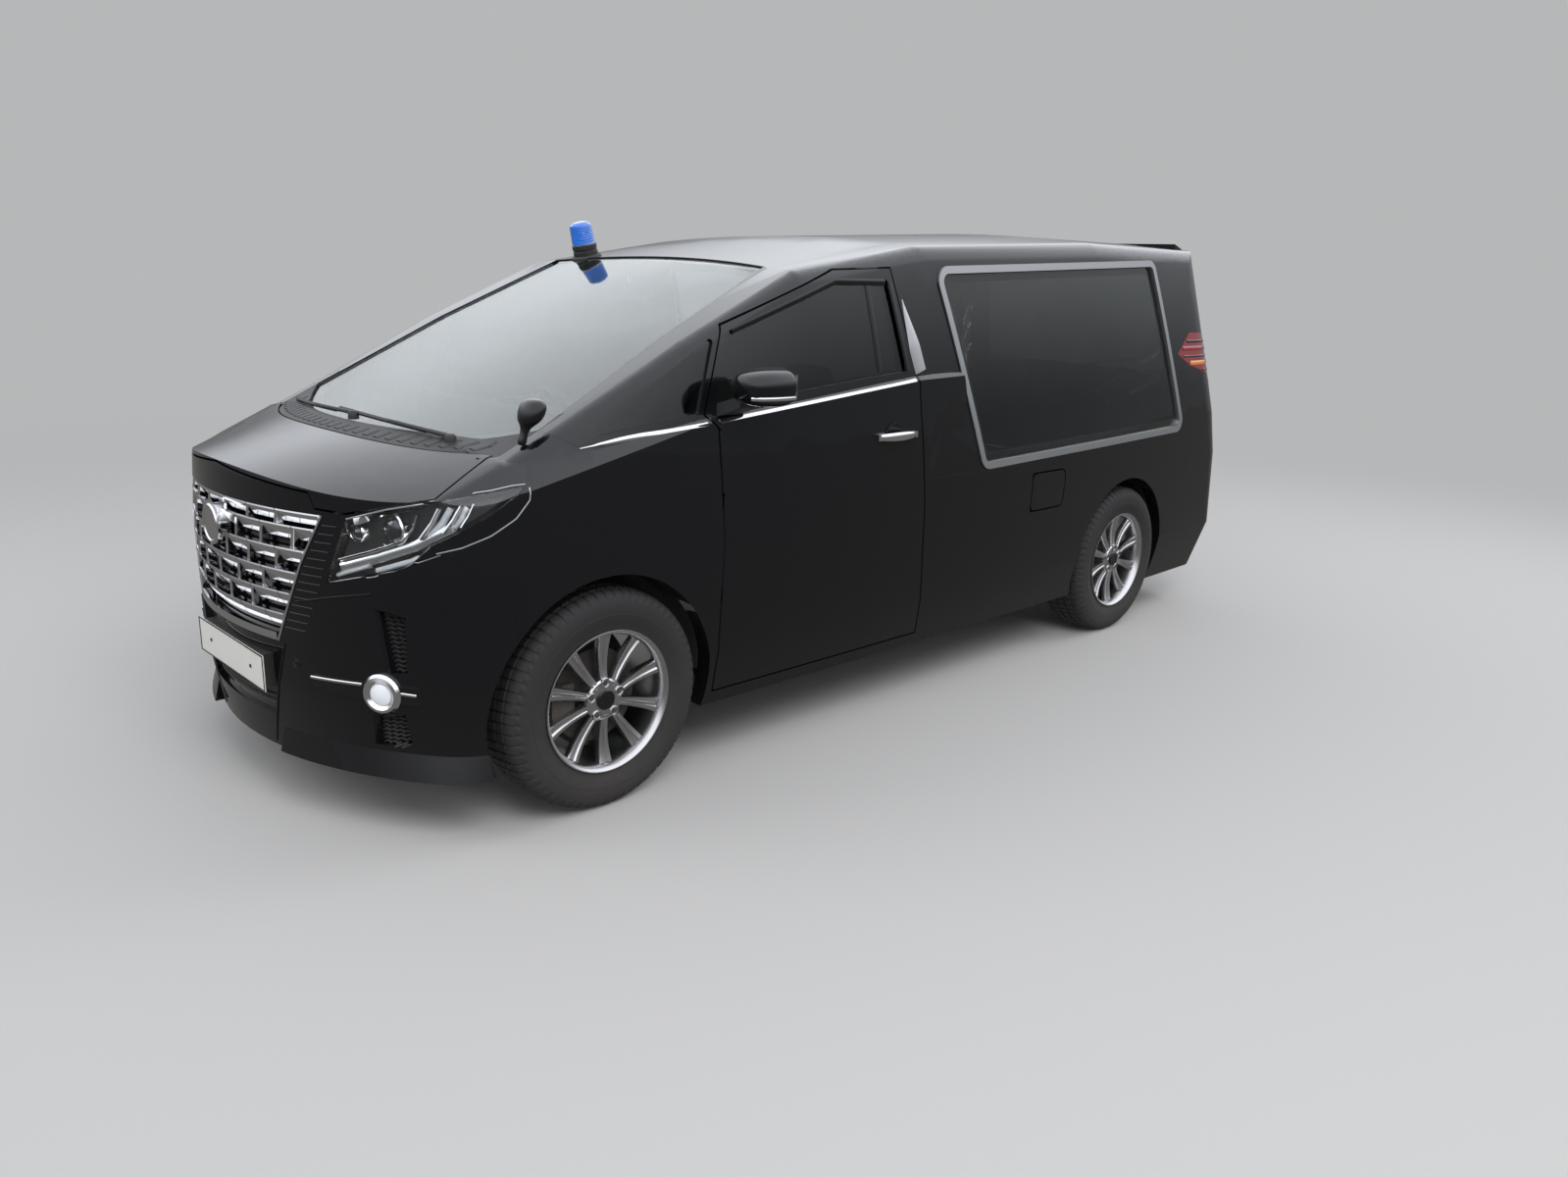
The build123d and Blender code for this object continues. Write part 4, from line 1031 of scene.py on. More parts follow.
# Lines inside the left headlamp: finish, width, height, depth below the lens, (x, y, z) points
LAMP_LINES = [
    (2, 0.013, 0.010, 0.016, [(2.272, 0.540, 0.781), (2.223, 0.628, 0.818)]),
    (2, 0.015, 0.010, 0.016, [(2.210, 0.652, 0.808), (2.150, 0.735, 0.842), (2.115, 0.774, 0.869)]),
    (2, 0.013, 0.010, 0.016, [(2.100, 0.790, 0.880), (2.041, 0.837, 0.906)]),
    (1, 0.030, 0.008, 0.018, [
        (2.267, 0.551, 0.806), (2.200, 0.655, 0.845), (2.137, 0.742, 0.885), (2.057, 0.818, 0.940),
    ]),
    (1, 0.010, 0.012, 0.014, [
        (2.265, 0.550, 0.828), (2.205, 0.640, 0.862), (2.157, 0.714, 0.896), (2.135, 0.735, 0.930),
        (2.127, 0.741, 0.970),
    ]),
    (1, 0.012, 0.016, 0.012, [(2.125, 0.753, 0.905), (2.100, 0.775, 0.950), (2.084, 0.787, 0.990)]),
    (2, 0.018, 0.010, 0.020, [(2.108, 0.768, 0.912), (2.082, 0.792, 0.950), (2.062, 0.806, 0.990)]),
    (1, 0.012, 0.016, 0.012, [(2.080, 0.800, 0.925), (2.058, 0.815, 0.960), (2.039, 0.825, 0.998)]),
    (2, 0.016, 0.010, 0.020, [(2.062, 0.812, 0.930), (2.042, 0.824, 0.960), (2.026, 0.832, 0.998)]),
    (1, 0.008, 0.014, 0.012, [(2.043, 0.829, 0.940), (2.024, 0.836, 0.970), (2.008, 0.840, 1.003)]),
    (1, 0.005, 0.006, 0.008, [(2.231, 0.587, 0.950), (2.160, 0.695, 0.972), (2.113, 0.751, 0.990)]),
]
# Bright lines round the lamp, each with its width
LAMP_EDGES = [
    (0.0045, [
        (2.246, 0.570, 0.943), (2.180, 0.670, 0.978), (2.113, 0.751, 1.000), (1.954, 0.838, 1.034),
        (1.863, 0.866, 1.047),
    ]),
    (0.003, [(2.276, 0.512, 0.758), (2.210, 0.650, 0.792), (2.160, 0.712, 0.820), (2.090, 0.800, 0.865)]),
    (0.0042, [
        (1.857, 0.880, 1.042), (1.862, 0.882, 1.005), (1.905, 0.884, 0.958), (1.975, 0.868, 0.915),
        (2.045, 0.836, 0.885), (2.098, 0.792, 0.868),
    ]),
]
# Projectors: centre and radius
PROJECTORS = [((2.178, 0.679, 0.922), 0.040), ((2.236, 0.592, 0.905), 0.022)]

FOG_RING = [(-0.009, 0.060), (0.000, 0.060), (0.009, 0.053), (0.012, 0.044), (0.006, 0.037), (0.003, 0.032)]
FOG_LENS = [(-0.002, 0.0335), (0.006, 0.0325), (0.011, 0.022), (0.0125, 0.001)]
FOG_LINES = [[(0.436, 0.466), (0.600, 0.472)], [(0.704, 0.458), (0.742, 0.456)]]


# Bars on the tail lamps: height, finish, width and how far forward each reaches on the side
TAIL_BARS = [
    (1.372, 3, 0.014, -1.925),
    (1.338, 0, 0.022, -1.880),
    (1.300, 3, 0.010, -1.890),
    (1.268, 1, 0.020, -1.960),
    (1.232, 3, 0.010, -2.100),
    (1.200, 2, 0.022, None),
    (1.160, 3, 0.014, None),
]


class HEARSE_OT_lamps(bpy.types.Operator):
    """Headlamp lenses and interiors, fog lamp lenses and tail lamp bars"""

    bl_idname = "hearse.lamps"
    bl_label = "Lamps"

    def execute(self, context):
        tree = skin("headlamps")
        body = skin("headlamps", "front_wings", "front_bumper")
        for side, word in SIDES:
            sheet = outer_sheet("headlamps", side, (0.75, 0.65 * side, 0.1))
            lens = Build()
            sheet_between(lens, sheet, 0.0, 0.003)
            replaced = ["headlamps"] if side == 1 else ()
            lens.piece(f"headlamp_lens_{word}", "body", lens_clear(), "lamp_clear", replaced, smooth=30)
            bowl = Build()
            sheet_between(bowl, sheet, 0.030, 0.052)
            for mark, width, height, depth, points in LAMP_LINES:
                places, normals = snapped(tree, points, 0.010, side, depth)
                bowl.moulding(places, normals, width, height, sink=0.014, mark=mark)
            for centre, r in PROJECTORS:
                places, normals = snapped(tree, [centre, centre], 0.01, side, 0.034)
                ahead = (normals[0] + Vector((1.4, 0, 0))).normalized()
                ring = [(-0.012, r * 1.35), (0.012, r * 1.32), (0.016, r * 1.22)]
                ring += [(0.008, r * 1.05), (0.002, r)]
                ball = [(-0.006, r), (0.004, r * 0.98), (0.012, r * 0.80), (0.018, r * 0.45), (0.020, 0.001)]
                projector = Build()
                projector.lathe(ring, axis="X", segments=40, mark=1)
                projector.lathe(ball, axis="X", segments=40, mark=4)
                bowl.take(projector, facing(places[0], ahead))
            materials = [satin_black(), bright_trim(), light_guide(), gloss_black(), projector_glass()]
            bowl.piece(f"headlamp_inside_{word}", "body", materials, "lamp_clear", smooth=30)
            rim = Build()
            for width, edge in LAMP_EDGES:
                rim.moulding(*snapped(body, edge, 0.012, side), width, 0.0022)
            rim.piece(f"headlamp_edge_{word}", "body", frame_silver(), "chrome")

        fog_tree = skin("fog_lamps")
        fogs = Build()
        for side, _ in SIDES:
            lamp = Build()
            lamp.lathe(FOG_RING, axis="X", segments=48)
            lamp.lathe(FOG_LENS, axis="X", segments=40, mark=1)
            fogs.take(lamp, facing(*on_front(fog_tree, side * 0.653, 0.450)))
            for line in FOG_LINES:
                fogs.moulding(*laid(fog_tree, "front", line, 0.02, side), 0.009, 0.003)
        fogs.piece("fog_lamp_lenses", "body", [bright_trim(), light_guide()], "chrome", smooth=30)

        rear = Build()
        tail_tree = skin("tail_lamps")
        for side, _ in SIDES:
            for z, mark, height, front in TAIL_BARS:
                if front is not None:
                    line = [(-2.220, z), (front, z)]
                    rear.moulding(*laid(tail_tree, "side", line, 0.02, side), height, 0.003, mark=mark)
                ends = spaced([(0.700 * side, 0, z), (0.802 * side, 0, z)], 0.012)
                hits = [drop(tail_tree, *aimed("rear", p.x, p.z), needed=False) for p in ends]
                hits = [hit for hit in hits if hit is not None]
                if len(hits) > 2:
                    places, normals = zip(*hits)
                    rear.moulding(places, normals, height, 0.003, mark=mark)
        tail_finishes = [lens_red(), lens_amber(), light_guide(), gloss_black()]
        rear.piece("tail_lamp_bars", "body", tail_finishes, "lamp_red", smooth=30)
        return {"FINISHED"}


# Side trims


BELT = [(1.664, 1.125), (1.500, 1.145), (1.237, 1.172), (1.218, 1.174)]
DOOR_BELT = [(1.196, 1.176), (0.768, 1.216), (0.212, 1.269)]
PILLAR = [(0.249, 1.553), (0.205, 1.420), (0.166, 1.296)]
# Black strips on the door: width, height, points
DOOR_BARS = [
    (0.026, 0.0035, [(0.420, 1.605), (0.382, 1.300)]),
    (0.030, 0.010, [(1.068, 1.452), (0.586, 1.612), (0.330, 1.614)]),
    (0.020, 0.003, [(0.310, 1.610), (0.238, 1.300)]),
]


class HEARSE_OT_side_trims(bpy.types.Operator):
    """Belt mouldings, pillar slips, window bars and rain visors"""

    bl_idname = "hearse.side_trims"
    bl_label = "Side trims"

    def execute(self, context):
        width = sizes().belt_width
        for side, word in SIDES:
            wing = skin("front_wings", "quarter_glass", f"side_{word}")
            door = skin(f"door_{word}", f"door_glass_{word}")
            panel = skin(f"side_{word}")
            fixed = Build()
            places, normals = laid(wing, "side", BELT, 0.03, side)
            widths = [0.004 + (width - 0.004) * min(1.0, i / 5) for i in range(len(places))]
            fixed.moulding(places, normals, widths, 0.004)
            places, normals = laid(panel, "side", PILLAR, 0.015, side)
            last = max(1, len(places) - 1)
            widths = [0.006 + 0.056 * min(1.0, 1.5 * i / last) for i in range(len(places))]
            fixed.moulding(places, normals, widths, 0.0035)
            fixed.piece(f"belt_moulding_{word}", "body", bright_trim(), "chrome")
            moving = Build()
            moving.moulding(*laid(door, "side", DOOR_BELT, 0.03, side), width, 0.004)
            moving.piece(f"door_belt_{word}", f"door_{word}", bright_trim(), "chrome")
            bars = Build()
            for wide, tall, line in DOOR_BARS:
                bars.moulding(*laid(door, "side", line, 0.03, side), wide, tall)
            bars.piece(f"door_window_bars_{word}", f"door_{word}", gloss_black(), "bumper_black")
        return {"FINISHED"}


LOAD_WINDOW = [(0.054, 1.674), (-1.611, 1.746), (-1.884, 0.944), (-0.206, 0.902)]
INNER_FACE = 0.0075


class HEARSE_OT_load_windows(bpy.types.Operator):
    """Black band inside each load window"""

    bl_idname = "hearse.load_windows"
    bl_label = "Load window bands"

    def execute(self, context):
        glass = skin("load_windows")
        corners = rounded(inset(LOAD_WINDOW, 0.048), 0.045)
        corners.append(corners[0])
        for side, word in SIDES:
            band = Build()
            places, normals = laid(glass, "side", corners, 0.04, side)
            places = [p - n * INNER_FACE for p, n in zip(places, normals)]
            band.moulding(places, normals, 0.030, 0.0008, sink=0.001, crown=False)
            band.piece(f"load_window_band_{word}", "body", satin_black(), "plastic_black")
        return {"FINISHED"}


# Mirrors, handles, beacon and other outer fittings


def loft_rings(name, rings, levels=2):
    """A smooth closed shell through rings of points, rounded by subdivision applied to the mesh."""
    build = Build()
    build.loops(rings)
    mesh = build.outward()
    obj = bpy.data.objects.new("draft", mesh)
    bpy.context.scene.collection.objects.link(obj)
    modifier = obj.modifiers.new("Subdivide", "SUBSURF")
    modifier.levels = levels
    modifier.render_levels = levels
    depsgraph = bpy.context.evaluated_depsgraph_get()
    result = bpy.data.meshes.new_from_object(obj.evaluated_get(depsgraph))
    bpy.data.objects.remove(obj)
    result.name = name
    return result


def mirror_ring(x, y0, y1, z0, z1, side):
    """One upright section of a mirror housing, rounded at its corners."""
    shares = [(0.0, 0.2), (0.0, 0.8), (0.18, 1.0), (0.82, 1.0)]
    shares += [(1.0, 0.72), (1.0, 0.3), (0.8, 0.0), (0.15, 0.0)]
    return [Vector((x, side * (y0 + (y1 - y0) * a), z0 + (z1 - z0) * b)) for a, b in shares]


# Sections of a mirror housing, from its glass forward: x, y from and to, z from and to
HOUSING = [
    (1.006, 0.922, 1.080, 1.232, 1.350),
    (1.040, 0.918, 1.0815, 1.228, 1.352),
    (1.100, 0.920, 1.080, 1.229, 1.351),
    (1.155, 0.930, 1.066, 1.238, 1.342),
    (1.188, 0.950, 1.040, 1.256, 1.322),
]
# Sections of its arm: y, x from and to, z from and to
MIRROR_ARM = [
    (0.862, 1.062, 1.168, 1.190, 1.232),
    (0.900, 1.066, 1.160, 1.202, 1.244),
    (0.945, 1.070, 1.140, 1.226, 1.262),
]
MIRROR_STRIP = [(1.030, 1.0765), (1.070, 1.0765), (1.110, 1.0735), (1.150, 1.0605), (1.176, 1.036)]
# Levels of the small wing mirror: share of its height, x, half depth and half width
WING_MIRROR = [
    (0.0, 1.812, 0.017, 0.018),
    (0.22, 1.806, 0.011, 0.012),
    (0.40, 1.796, 0.013, 0.018),
    (0.52, 1.786, 0.030, 0.050),
    (0.75, 1.774, 0.036, 0.058),
    (0.93, 1.768, 0.030, 0.050),
    (1.0, 1.768, 0.012, 0.024),
]


class HEARSE_OT_mirrors(bpy.types.Operator):
    """Door mirrors with glass, lamp strip and stalk, and the small wing mirror"""

    bl_idname = "hearse.mirrors"
    bl_label = "Mirrors"

    def execute(self, context):
        for side, word in SIDES:
            body = f"door_{word}"
            name = f"mirror_housing_{word}"
            mesh = loft_rings(name, [mirror_ring(*row, side) for row in HOUSING])
            add_piece(name, mesh, body, paint(), [f"mirror_{word}"], smooth=60)
            parts = Build()
            arm = []
            for y, x0, x1, z0, z1 in MIRROR_ARM:
                corners = [(x0, z0), (x1, z0), (x1 - 0.006, z1), (x0 + 0.006, z1)]
                arm.append([Vector((x, side * y, z)) for x, z in corners])
            parts.loops(arm)
            y0, y1 = sorted((side * 0.944, side * 1.058))
            parts.box((1.0048, y0, 1.256), (1.0120, y1, 1.330), 1)
            places = [Vector((x, side * y, 1.262)) for x, y in MIRROR_STRIP]
            normals = [Vector((x - 1.09, side * (y - 1.0) * 0.6, 0)).normalized() for x, y in MIRROR_STRIP]
            parts.moulding(places, normals, 0.011, 0.0025, sink=0.008, mark=2)
            finishes = [satin_black(), mirror_glass(), bright_trim()]
            parts.piece(f"mirror_details_{word}", body, finishes, "bumper_black", smooth=40)

        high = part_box("wing_mirror")[1]
        foot, _ = on_top(skin("front_wings"), 1.80, 0.77)
        rings = []
        for t, x, deep, wide in WING_MIRROR:
            z = foot.z - 0.004 + (high.z - foot.z + 0.002) * t
            rings.append([Vector((x + deep * math.cos(a), 0.770 + wide * math.sin(a), z)) for a in turns(12)])
        name = "wing_mirror_shell"
        mesh = loft_rings(name, rings)
        add_piece(name, mesh, "body", gloss_black(), ["wing_mirror"], smooth=60)
        return {"FINISHED"}


HANDLE_ENDS = (0.232, 0.440)
HANDLE_Z = 1.077
HANDLE_CUP = [(-0.001, 0.050), (0.0018, 0.0495), (0.0024, 0.047), (0.0010, 0.042), (0.0006, 0.001)]


class HEARSE_OT_handles(bpy.types.Operator):
    """Bright door handles with their cups"""

    bl_idname = "hearse.handles"
    bl_label = "Door handles"

    def execute(self, context):
        rear, front = HANDLE_ENDS
        for side, word in SIDES:
            tree = skin(f"door_{word}")
            grip = Build()
            rings = []
            for t in range(13):
                s = t / 12
                point, _ = on_side(tree, rear + s * (front - rear), HANDLE_Z, side)
                lift = 0.006 + 0.026 * math.sin(math.pi * s) ** 0.5
                tall = 0.0155 * (0.7 + 0.3 * math.sin(math.pi * s))
                centre = point + Vector((0, side * lift, 0))
                ring = [Vector((0, side * 0.0065 * math.cos(a), tall * math.sin(a))) for a in turns(12)]
                rings.append([centre + offset for offset in ring])
            grip.loops(rings)
            for x in (0.240, 0.432):
                point, _ = on_side(tree, x, HANDLE_Z, side)
                y0, y1 = sorted((point.y - side * 0.002, point.y + side * 0.018))
                grip.box((x - 0.012, y0, 1.066), (x + 0.012, y1, 1.088))
            replaced = [f"door_handle_{word}"]
            grip.piece(f"handle_grip_{word}", f"door_{word}", bright_trim(), "chrome", replaced, smooth=50)
            cup = Build()
            point, _ = on_side(tree, 0.342, 1.074, side)
            cup.lathe(HANDLE_CUP, point, segments=40, sign=side)
            cup.piece(f"handle_cup_{word}", f"door_{word}", gloss_black(), "bumper_black", smooth=40)
        return {"FINISHED"}


COLLAR = [
    (0.0, 0.061), (0.036, 0.061), (0.043, 0.056), (0.043, 0.0500), (0.058, 0.0500), (0.060, 0.0475),
    (0.066, 0.0475), (0.068, 0.0498), (0.082, 0.0498), (0.084, 0.046),
]


class HEARSE_OT_beacon(bpy.types.Operator):
    """Blue beacon with a ribbed dome on a black foot"""

    bl_idname = "hearse.beacon"
    bl_label = "Beacon"

    def execute(self, context):
        parts = Build()
        parts.lathe(COLLAR, axis="Z", segments=40)
        parts.lathe([(0.084, 0.0485), (0.089, 0.0485), (0.090, 0.046)], axis="Z", segments=40, mark=2)
        dome = [(0.088, 0.0470)]
        for i in range(8):
            z = 0.090 + i * 0.0090
            dome += [(z, 0.0475 - 0.0004 * i), (z + 0.005, 0.0462 - 0.0004 * i)]
        dome += [(0.163, 0.042), (0.172, 0.030), (0.1755, 0.012), (0.176, 0.001)]
        parts.lathe(dome, axis="Z", segments=40, mark=1)
        mesh = parts.outward()
        lean = Matrix.Rotation(math.radians(14), 4, "Y")
        mesh.transform(Matrix.Translation((0.681, -0.500, 1.632)) @ lean)
        finishes = [satin_black(), lens_blue(), frame_silver()]
        add_piece("beacon_dome", mesh, "body", finishes, ["beacon"], smooth=25)
        return {"FINISHED"}


# Each wiper: foot, middle and tip
WIPERS = [
    [(1.905, 0.540, 1.142), (1.945, 0.240, 1.157), (1.948, -0.090, 1.163)],
    [(1.964, 0.040, 1.160), (1.950, -0.280, 1.154), (1.880, -0.600, 1.141)],
]
BLADE = [(-0.006, -0.002), (0.0, 0.004), (0.006, -0.002), (0.0015, -0.009), (-0.0015, -0.009)]


def bowed(y, half):
    """Share of the bow that an edge across the car still has at y."""
    return 1 - (y / half) ** 2


class HEARSE_OT_wipers(bpy.types.Operator):
    """Wiper arms and blades, cowl ribs and screen edge bands"""

    bl_idname = "hearse.wipers"
    bl_label = "Wipers and cowl"

    def execute(self, context):
        arms = Build()
        for run in WIPERS:
            foot, middle, tip = [Vector(p) for p in run]
            path = []
            for i in range(17):
                t = i / 16
                path.append(foot * (1 - t) * (1 - 2 * t) + middle * 4 * t * (1 - t) + tip * t * (2 * t - 1))
            arms.tube(path[:9], [0.0075 - 0.0003 * i for i in range(9)], 8)
            arms.loops([[p + Vector((dx, 0, dz)) for dx, dz in BLADE] for p in path[3:]])
            arms.lathe([(-0.020, 0.017), (0.0, 0.017), (0.006, 0.012), (0.008, 0.001)], foot, "Z", 24)
        arms.piece("wiper_arms", "body", satin_black(), "plastic_black", ["wipers"], smooth=40)

        tree = skin("cowl")
        ribs = Build()
        for i in range(27):
            y = -0.65 + i * 0.05
            back = 1.738 + 0.247 * bowed(y, 0.742) + 0.030
            front = 1.884 + 0.191 * bowed(y, 0.726) - 0.022
            ribs.moulding(*laid(tree, "top", [(back, y), (front, y)], 0.02), 0.030, 0.0025)
        ribs.piece("cowl_ribs", "body", satin_black(), "plastic_black")

        glass = skin("windscreen")
        band = Build()
        across = [-0.60 + 0.1 * k for k in range(13)]
        top_edge = [(0.745 + 0.012 - 0.053 * bowed(y, 0.622), y) for y in across]
        across = [-0.72 + 0.12 * k for k in range(13)]
        foot_edge = [(1.738 - 0.012 + 0.245 * bowed(y, 0.742), y) for y in across]
        for edge, width in ((top_edge, 0.05), (foot_edge, 0.06)):
            hits = [drop(glass, *aimed("top", x, y), needed=False) for x, y in edge]
            hits = [hit for hit in hits if hit is not None]
            if len(hits) > 3:
                places = [p - n * INNER_FACE for p, n in hits]
                band.moulding(places, [n for _, n in hits], width, 0.0006, sink=0.0008, crown=False)
        band.piece("screen_bands", "body", satin_black(), "plastic_black")
        return {"FINISHED"}


def plate_finishes():
    """Finishes of a plate's face, rim and screws."""
    return [plate_white(), gloss_black(), dark_steel()]


def blank_plate(build, centre, normal):
    """A blank plate with a pressed rim and two screws, facing along a normal."""
    side = Vector((0, 0, 1)).cross(normal).normalized()
    up = normal.cross(side)

    def at(a, b, c):
        return centre + side * a + up * b + normal * c

    w, h = sizes().plate_width / 2, sizes().plate_height / 2
    face = [(-w, -h), (w, -h), (w, h), (-w, h)]
    build.loops([[at(a, b, c) for a, b in face] for c in (-0.001, 0.0022)], 0)
    rim = 0.015 * w
    inner = [(a * (w - rim), b * (h - rim)) for a, b in ((-1, -1), (1, -1), (1, 1), (-1, 1))]
    levels = ((face, 0.002), (face, 0.0038), (inner, 0.0038), (inner, 0.0022))
    build.loops([[at(a, b, c) for a, b in outline] for outline, c in levels], 1, caps=False)
    for middle in (-w * 0.62, w * 0.62):
        rings = []
        for r, c in ((0.006, 0.002), (0.006, 0.0045), (0.003, 0.0055)):
            rings.append([at(middle + r * math.cos(t), r * math.sin(t), c) for t in turns(12)])
        build.loops(rings, 2)


# Outlines of the upper and lower vent on the left, as (y, z)
VENTS = [
    [(0.640, 0.700), (0.722, 0.684), (0.716, 0.518), (0.664, 0.514)],
    [(0.612, 0.384), (0.700, 0.392), (0.704, 0.292), (0.600, 0.284)],
]
COMB_PITCH = 0.0135
SENSOR = [
    (-0.001, 0.017), (0.0012, 0.0165), (0.0012, 0.0125), (0.0004, 0.0120), (0.0014, 0.0105), (0.0016, 0.001),
]
MOUTH_EDGE = [(0.335, 0.548), (0.299, 0.440), (0.243, 0.302), (0.205, 0.205)]
LAMP_FOLD = [(0.395, 0.684), (0.520, 0.716), (0.640, 0.742)]
PLATE_Z = 0.440


class HEARSE_OT_nose_details(bpy.types.Operator):
    """Blank front plate and holder, honeycomb vents, sensors, bumper edges and mouth ribs"""

    bl_idname = "hearse.nose_details"
    bl_label = "Nose details"

    def execute(self, context):
        tree = skin("front_bumper")
        plate = Build()
        blank_plate(plate, Vector((nose_x(0.0, PLATE_Z) - 0.006, 0, PLATE_Z)), Vector((1, 0, 0)))
        plate.piece("front_plate", "body", plate_finishes(), "bumper_black", smooth=30)
        holder = Build()
        back, front = nose_x(0.255, PLATE_Z) - 0.030, nose_x(0.0, PLATE_Z) - 0.0072
        holder.box((back, -0.235, 0.388), (front, 0.235, 0.492))
        holder.piece("front_plate_holder", "body", satin_black(), "plastic_black", smooth=30)

        comb = Build()
        for side, _ in SIDES:
            for outline in VENTS:
                z0, z1 = min(p[1] for p in outline), max(p[1] for p in outline)
                for r in range(int((z1 - z0) / COMB_PITCH)):
                    z = z0 + (r + 0.5) * COMB_PITCH
                    crossing = []
                    for (a, b), (c, d) in zip(outline, outline[1:] + outline[:1]):
                        if (b > z) != (d > z):
                            crossing.append(a + (c - a) * (z - b) / (d - b))
                    if len(crossing) < 2:
                        continue
                    y0, y1 = min(crossing) + 0.002, max(crossing) - 0.002
                    n = max(2, int((y1 - y0) / 0.009))
                    hits = []
                    for k in range(n + 1):
                        zigzag = z + (0.0032 if k % 2 else -0.0032)
                        hits.append(on_front(tree, (y0 + (y1 - y0) * k / n) * side, zigzag))
                    places, normals = zip(*hits)
                    comb.moulding(places, normals, 0.0042, 0.010, sink=0.001)
        comb.piece("vent_combs", "body", satin_black(), "plastic_black", smooth=None)

        sensors, lines = Build(), Build()
        for side, _ in SIDES:
            sensor = Build()
            sensor.lathe(SENSOR, axis="X", segments=28)
            sensors.take(sensor, facing(*on_front(tree, 0.373 * side, 0.493)))
            lines.moulding(*laid(tree, "front", MOUTH_EDGE, 0.02, side), 0.006, 0.004)
            lines.moulding(*laid(tree, "front", LAMP_FOLD, 0.03, side), 0.005, 0.003)
        sensors.piece("parking_sensors", "body", gloss_black(), "bumper_black")
        lines.piece("bumper_edges", "body", paint(), "bumper_black")
        lower = Build()
        for z in (0.330, 0.352):
            lower.moulding(*laid(tree, "front", [(-0.225, z), (0.225, z)], 0.03), 0.007, 0.008)
        lower.piece("mouth_ribs", "body", satin_black(), "plastic_black")
        return {"FINISHED"}


TAIL_PIPE = [(0.004, 0.022), (0.0, 0.026), (0.0, 0.031), (0.004, 0.034), (0.120, 0.034), (0.120, 0.022)]


class HEARSE_OT_rear_details(bpy.types.Operator):
    """Rear plate, bright bar, wiper, high stop lamp, reflectors and tail pipe"""

    bl_idname = "hearse.rear_details"
    bl_label = "Rear details"

    def execute(self, context):
        gate = skin("tailgate", "tailgate_glass")
        bumper = skin("rear_bumper")
        bar = Build()
        bar.moulding(*laid(gate, "rear", [(-0.62, 1.105), (0.62, 1.105)], 0.04), 0.050, 0.010)
        bar.piece("tailgate_bar", "tailgate", bright_trim(), "chrome")
        point, normal = on_rear(gate, 0.0, 0.985)
        plate = Build()
        blank_plate(plate, point + normal * 0.004, normal)
        plate.piece("rear_plate", "tailgate", plate_finishes(), "paint_black", smooth=30)

        wiper = Build()
        pivot, _ = on_rear(gate, 0.0, 1.165)
        boss = [(-0.004, 0.022), (0.012, 0.020), (0.018, 0.012), (0.019, 0.001)]
        wiper.lathe(boss, pivot, axis="X", segments=24, sign=-1)
        places, normals = laid(gate, "rear", [(0.0, 1.180), (0.16, 1.215), (0.34, 1.235)], 0.03)
        wiper.moulding([p + n * 0.006 for p, n in zip(places, normals)], normals, 0.012, 0.008)
        wiper.piece("rear_wiper", "tailgate", satin_black(), "plastic_black")
        lamp = Build()
        lamp.moulding(*laid(skin("tailgate"), "rear", [(-0.16, 1.781), (0.16, 1.781)], 0.02), 0.010, 0.003)
        lamp.piece("high_stop_lamp", "tailgate", lens_red(), "lamp_red")

        lower = Build()
        for side, _ in SIDES:
            lower.moulding(*laid(bumper, "rear", [(0.600, 0.420), (0.760, 0.420)], 0.02, side), 0.035, 0.004)
        lower.moulding(*laid(bumper, "rear", [(-0.70, 0.330), (0.70, 0.330)], 0.05), 0.012, 0.004, mark=1)
        lower.piece("rear_reflectors", "body", [lens_red(), satin_black()], "lamp_red")
        pipe = Build()
        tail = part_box("exhaust")[0]
        pipe.lathe(TAIL_PIPE, (tail.x + 0.004, -0.36, 0.235), axis="X", segments=32, caps=False)
        pipe.piece("tail_pipe", "body", bright_trim(), "chrome", smooth=40)
        return {"FINISHED"}


# Cabin and load space


def cushion(low, high, crown):
    """A padded block: a rounded cage whose faces swell between its edges."""
    low, high = Vector(low), Vector(high)
    bm = bmesh.new()
    bmesh.ops.create_cube(bm, size=1.0)
    bmesh.ops.subdivide_edges(bm, edges=bm.edges[:], cuts=7, use_grid_fill=True)
    middle, half = (low + high) / 2, (high - low) / 2
    power = 6.0
    for v in bm.verts:
        q = Vector([max(-1.0, min(1.0, c)) for c in v.co * 2])
        length = sum(abs(c) ** power for c in q) ** (1 / power)
        q = q / length
        edge = max(sorted([abs(c) for c in q])[:2])
        swell = 1.0 - crown * edge ** 2
        v.co = middle + Vector([q[i] * half[i] * swell for i in range(3)])
    bmesh.ops.recalc_face_normals(bm, faces=bm.faces)
    mesh = bpy.data.meshes.new("cushion")
    bm.to_mesh(mesh)
    bm.free()
    return mesh


def join_meshes(name, meshes):
    bm = bmesh.new()
    for mesh in meshes:
        bm.from_mesh(mesh)
    out = bpy.data.meshes.new(name)
    bm.to_mesh(out)
    bm.free()
    return out


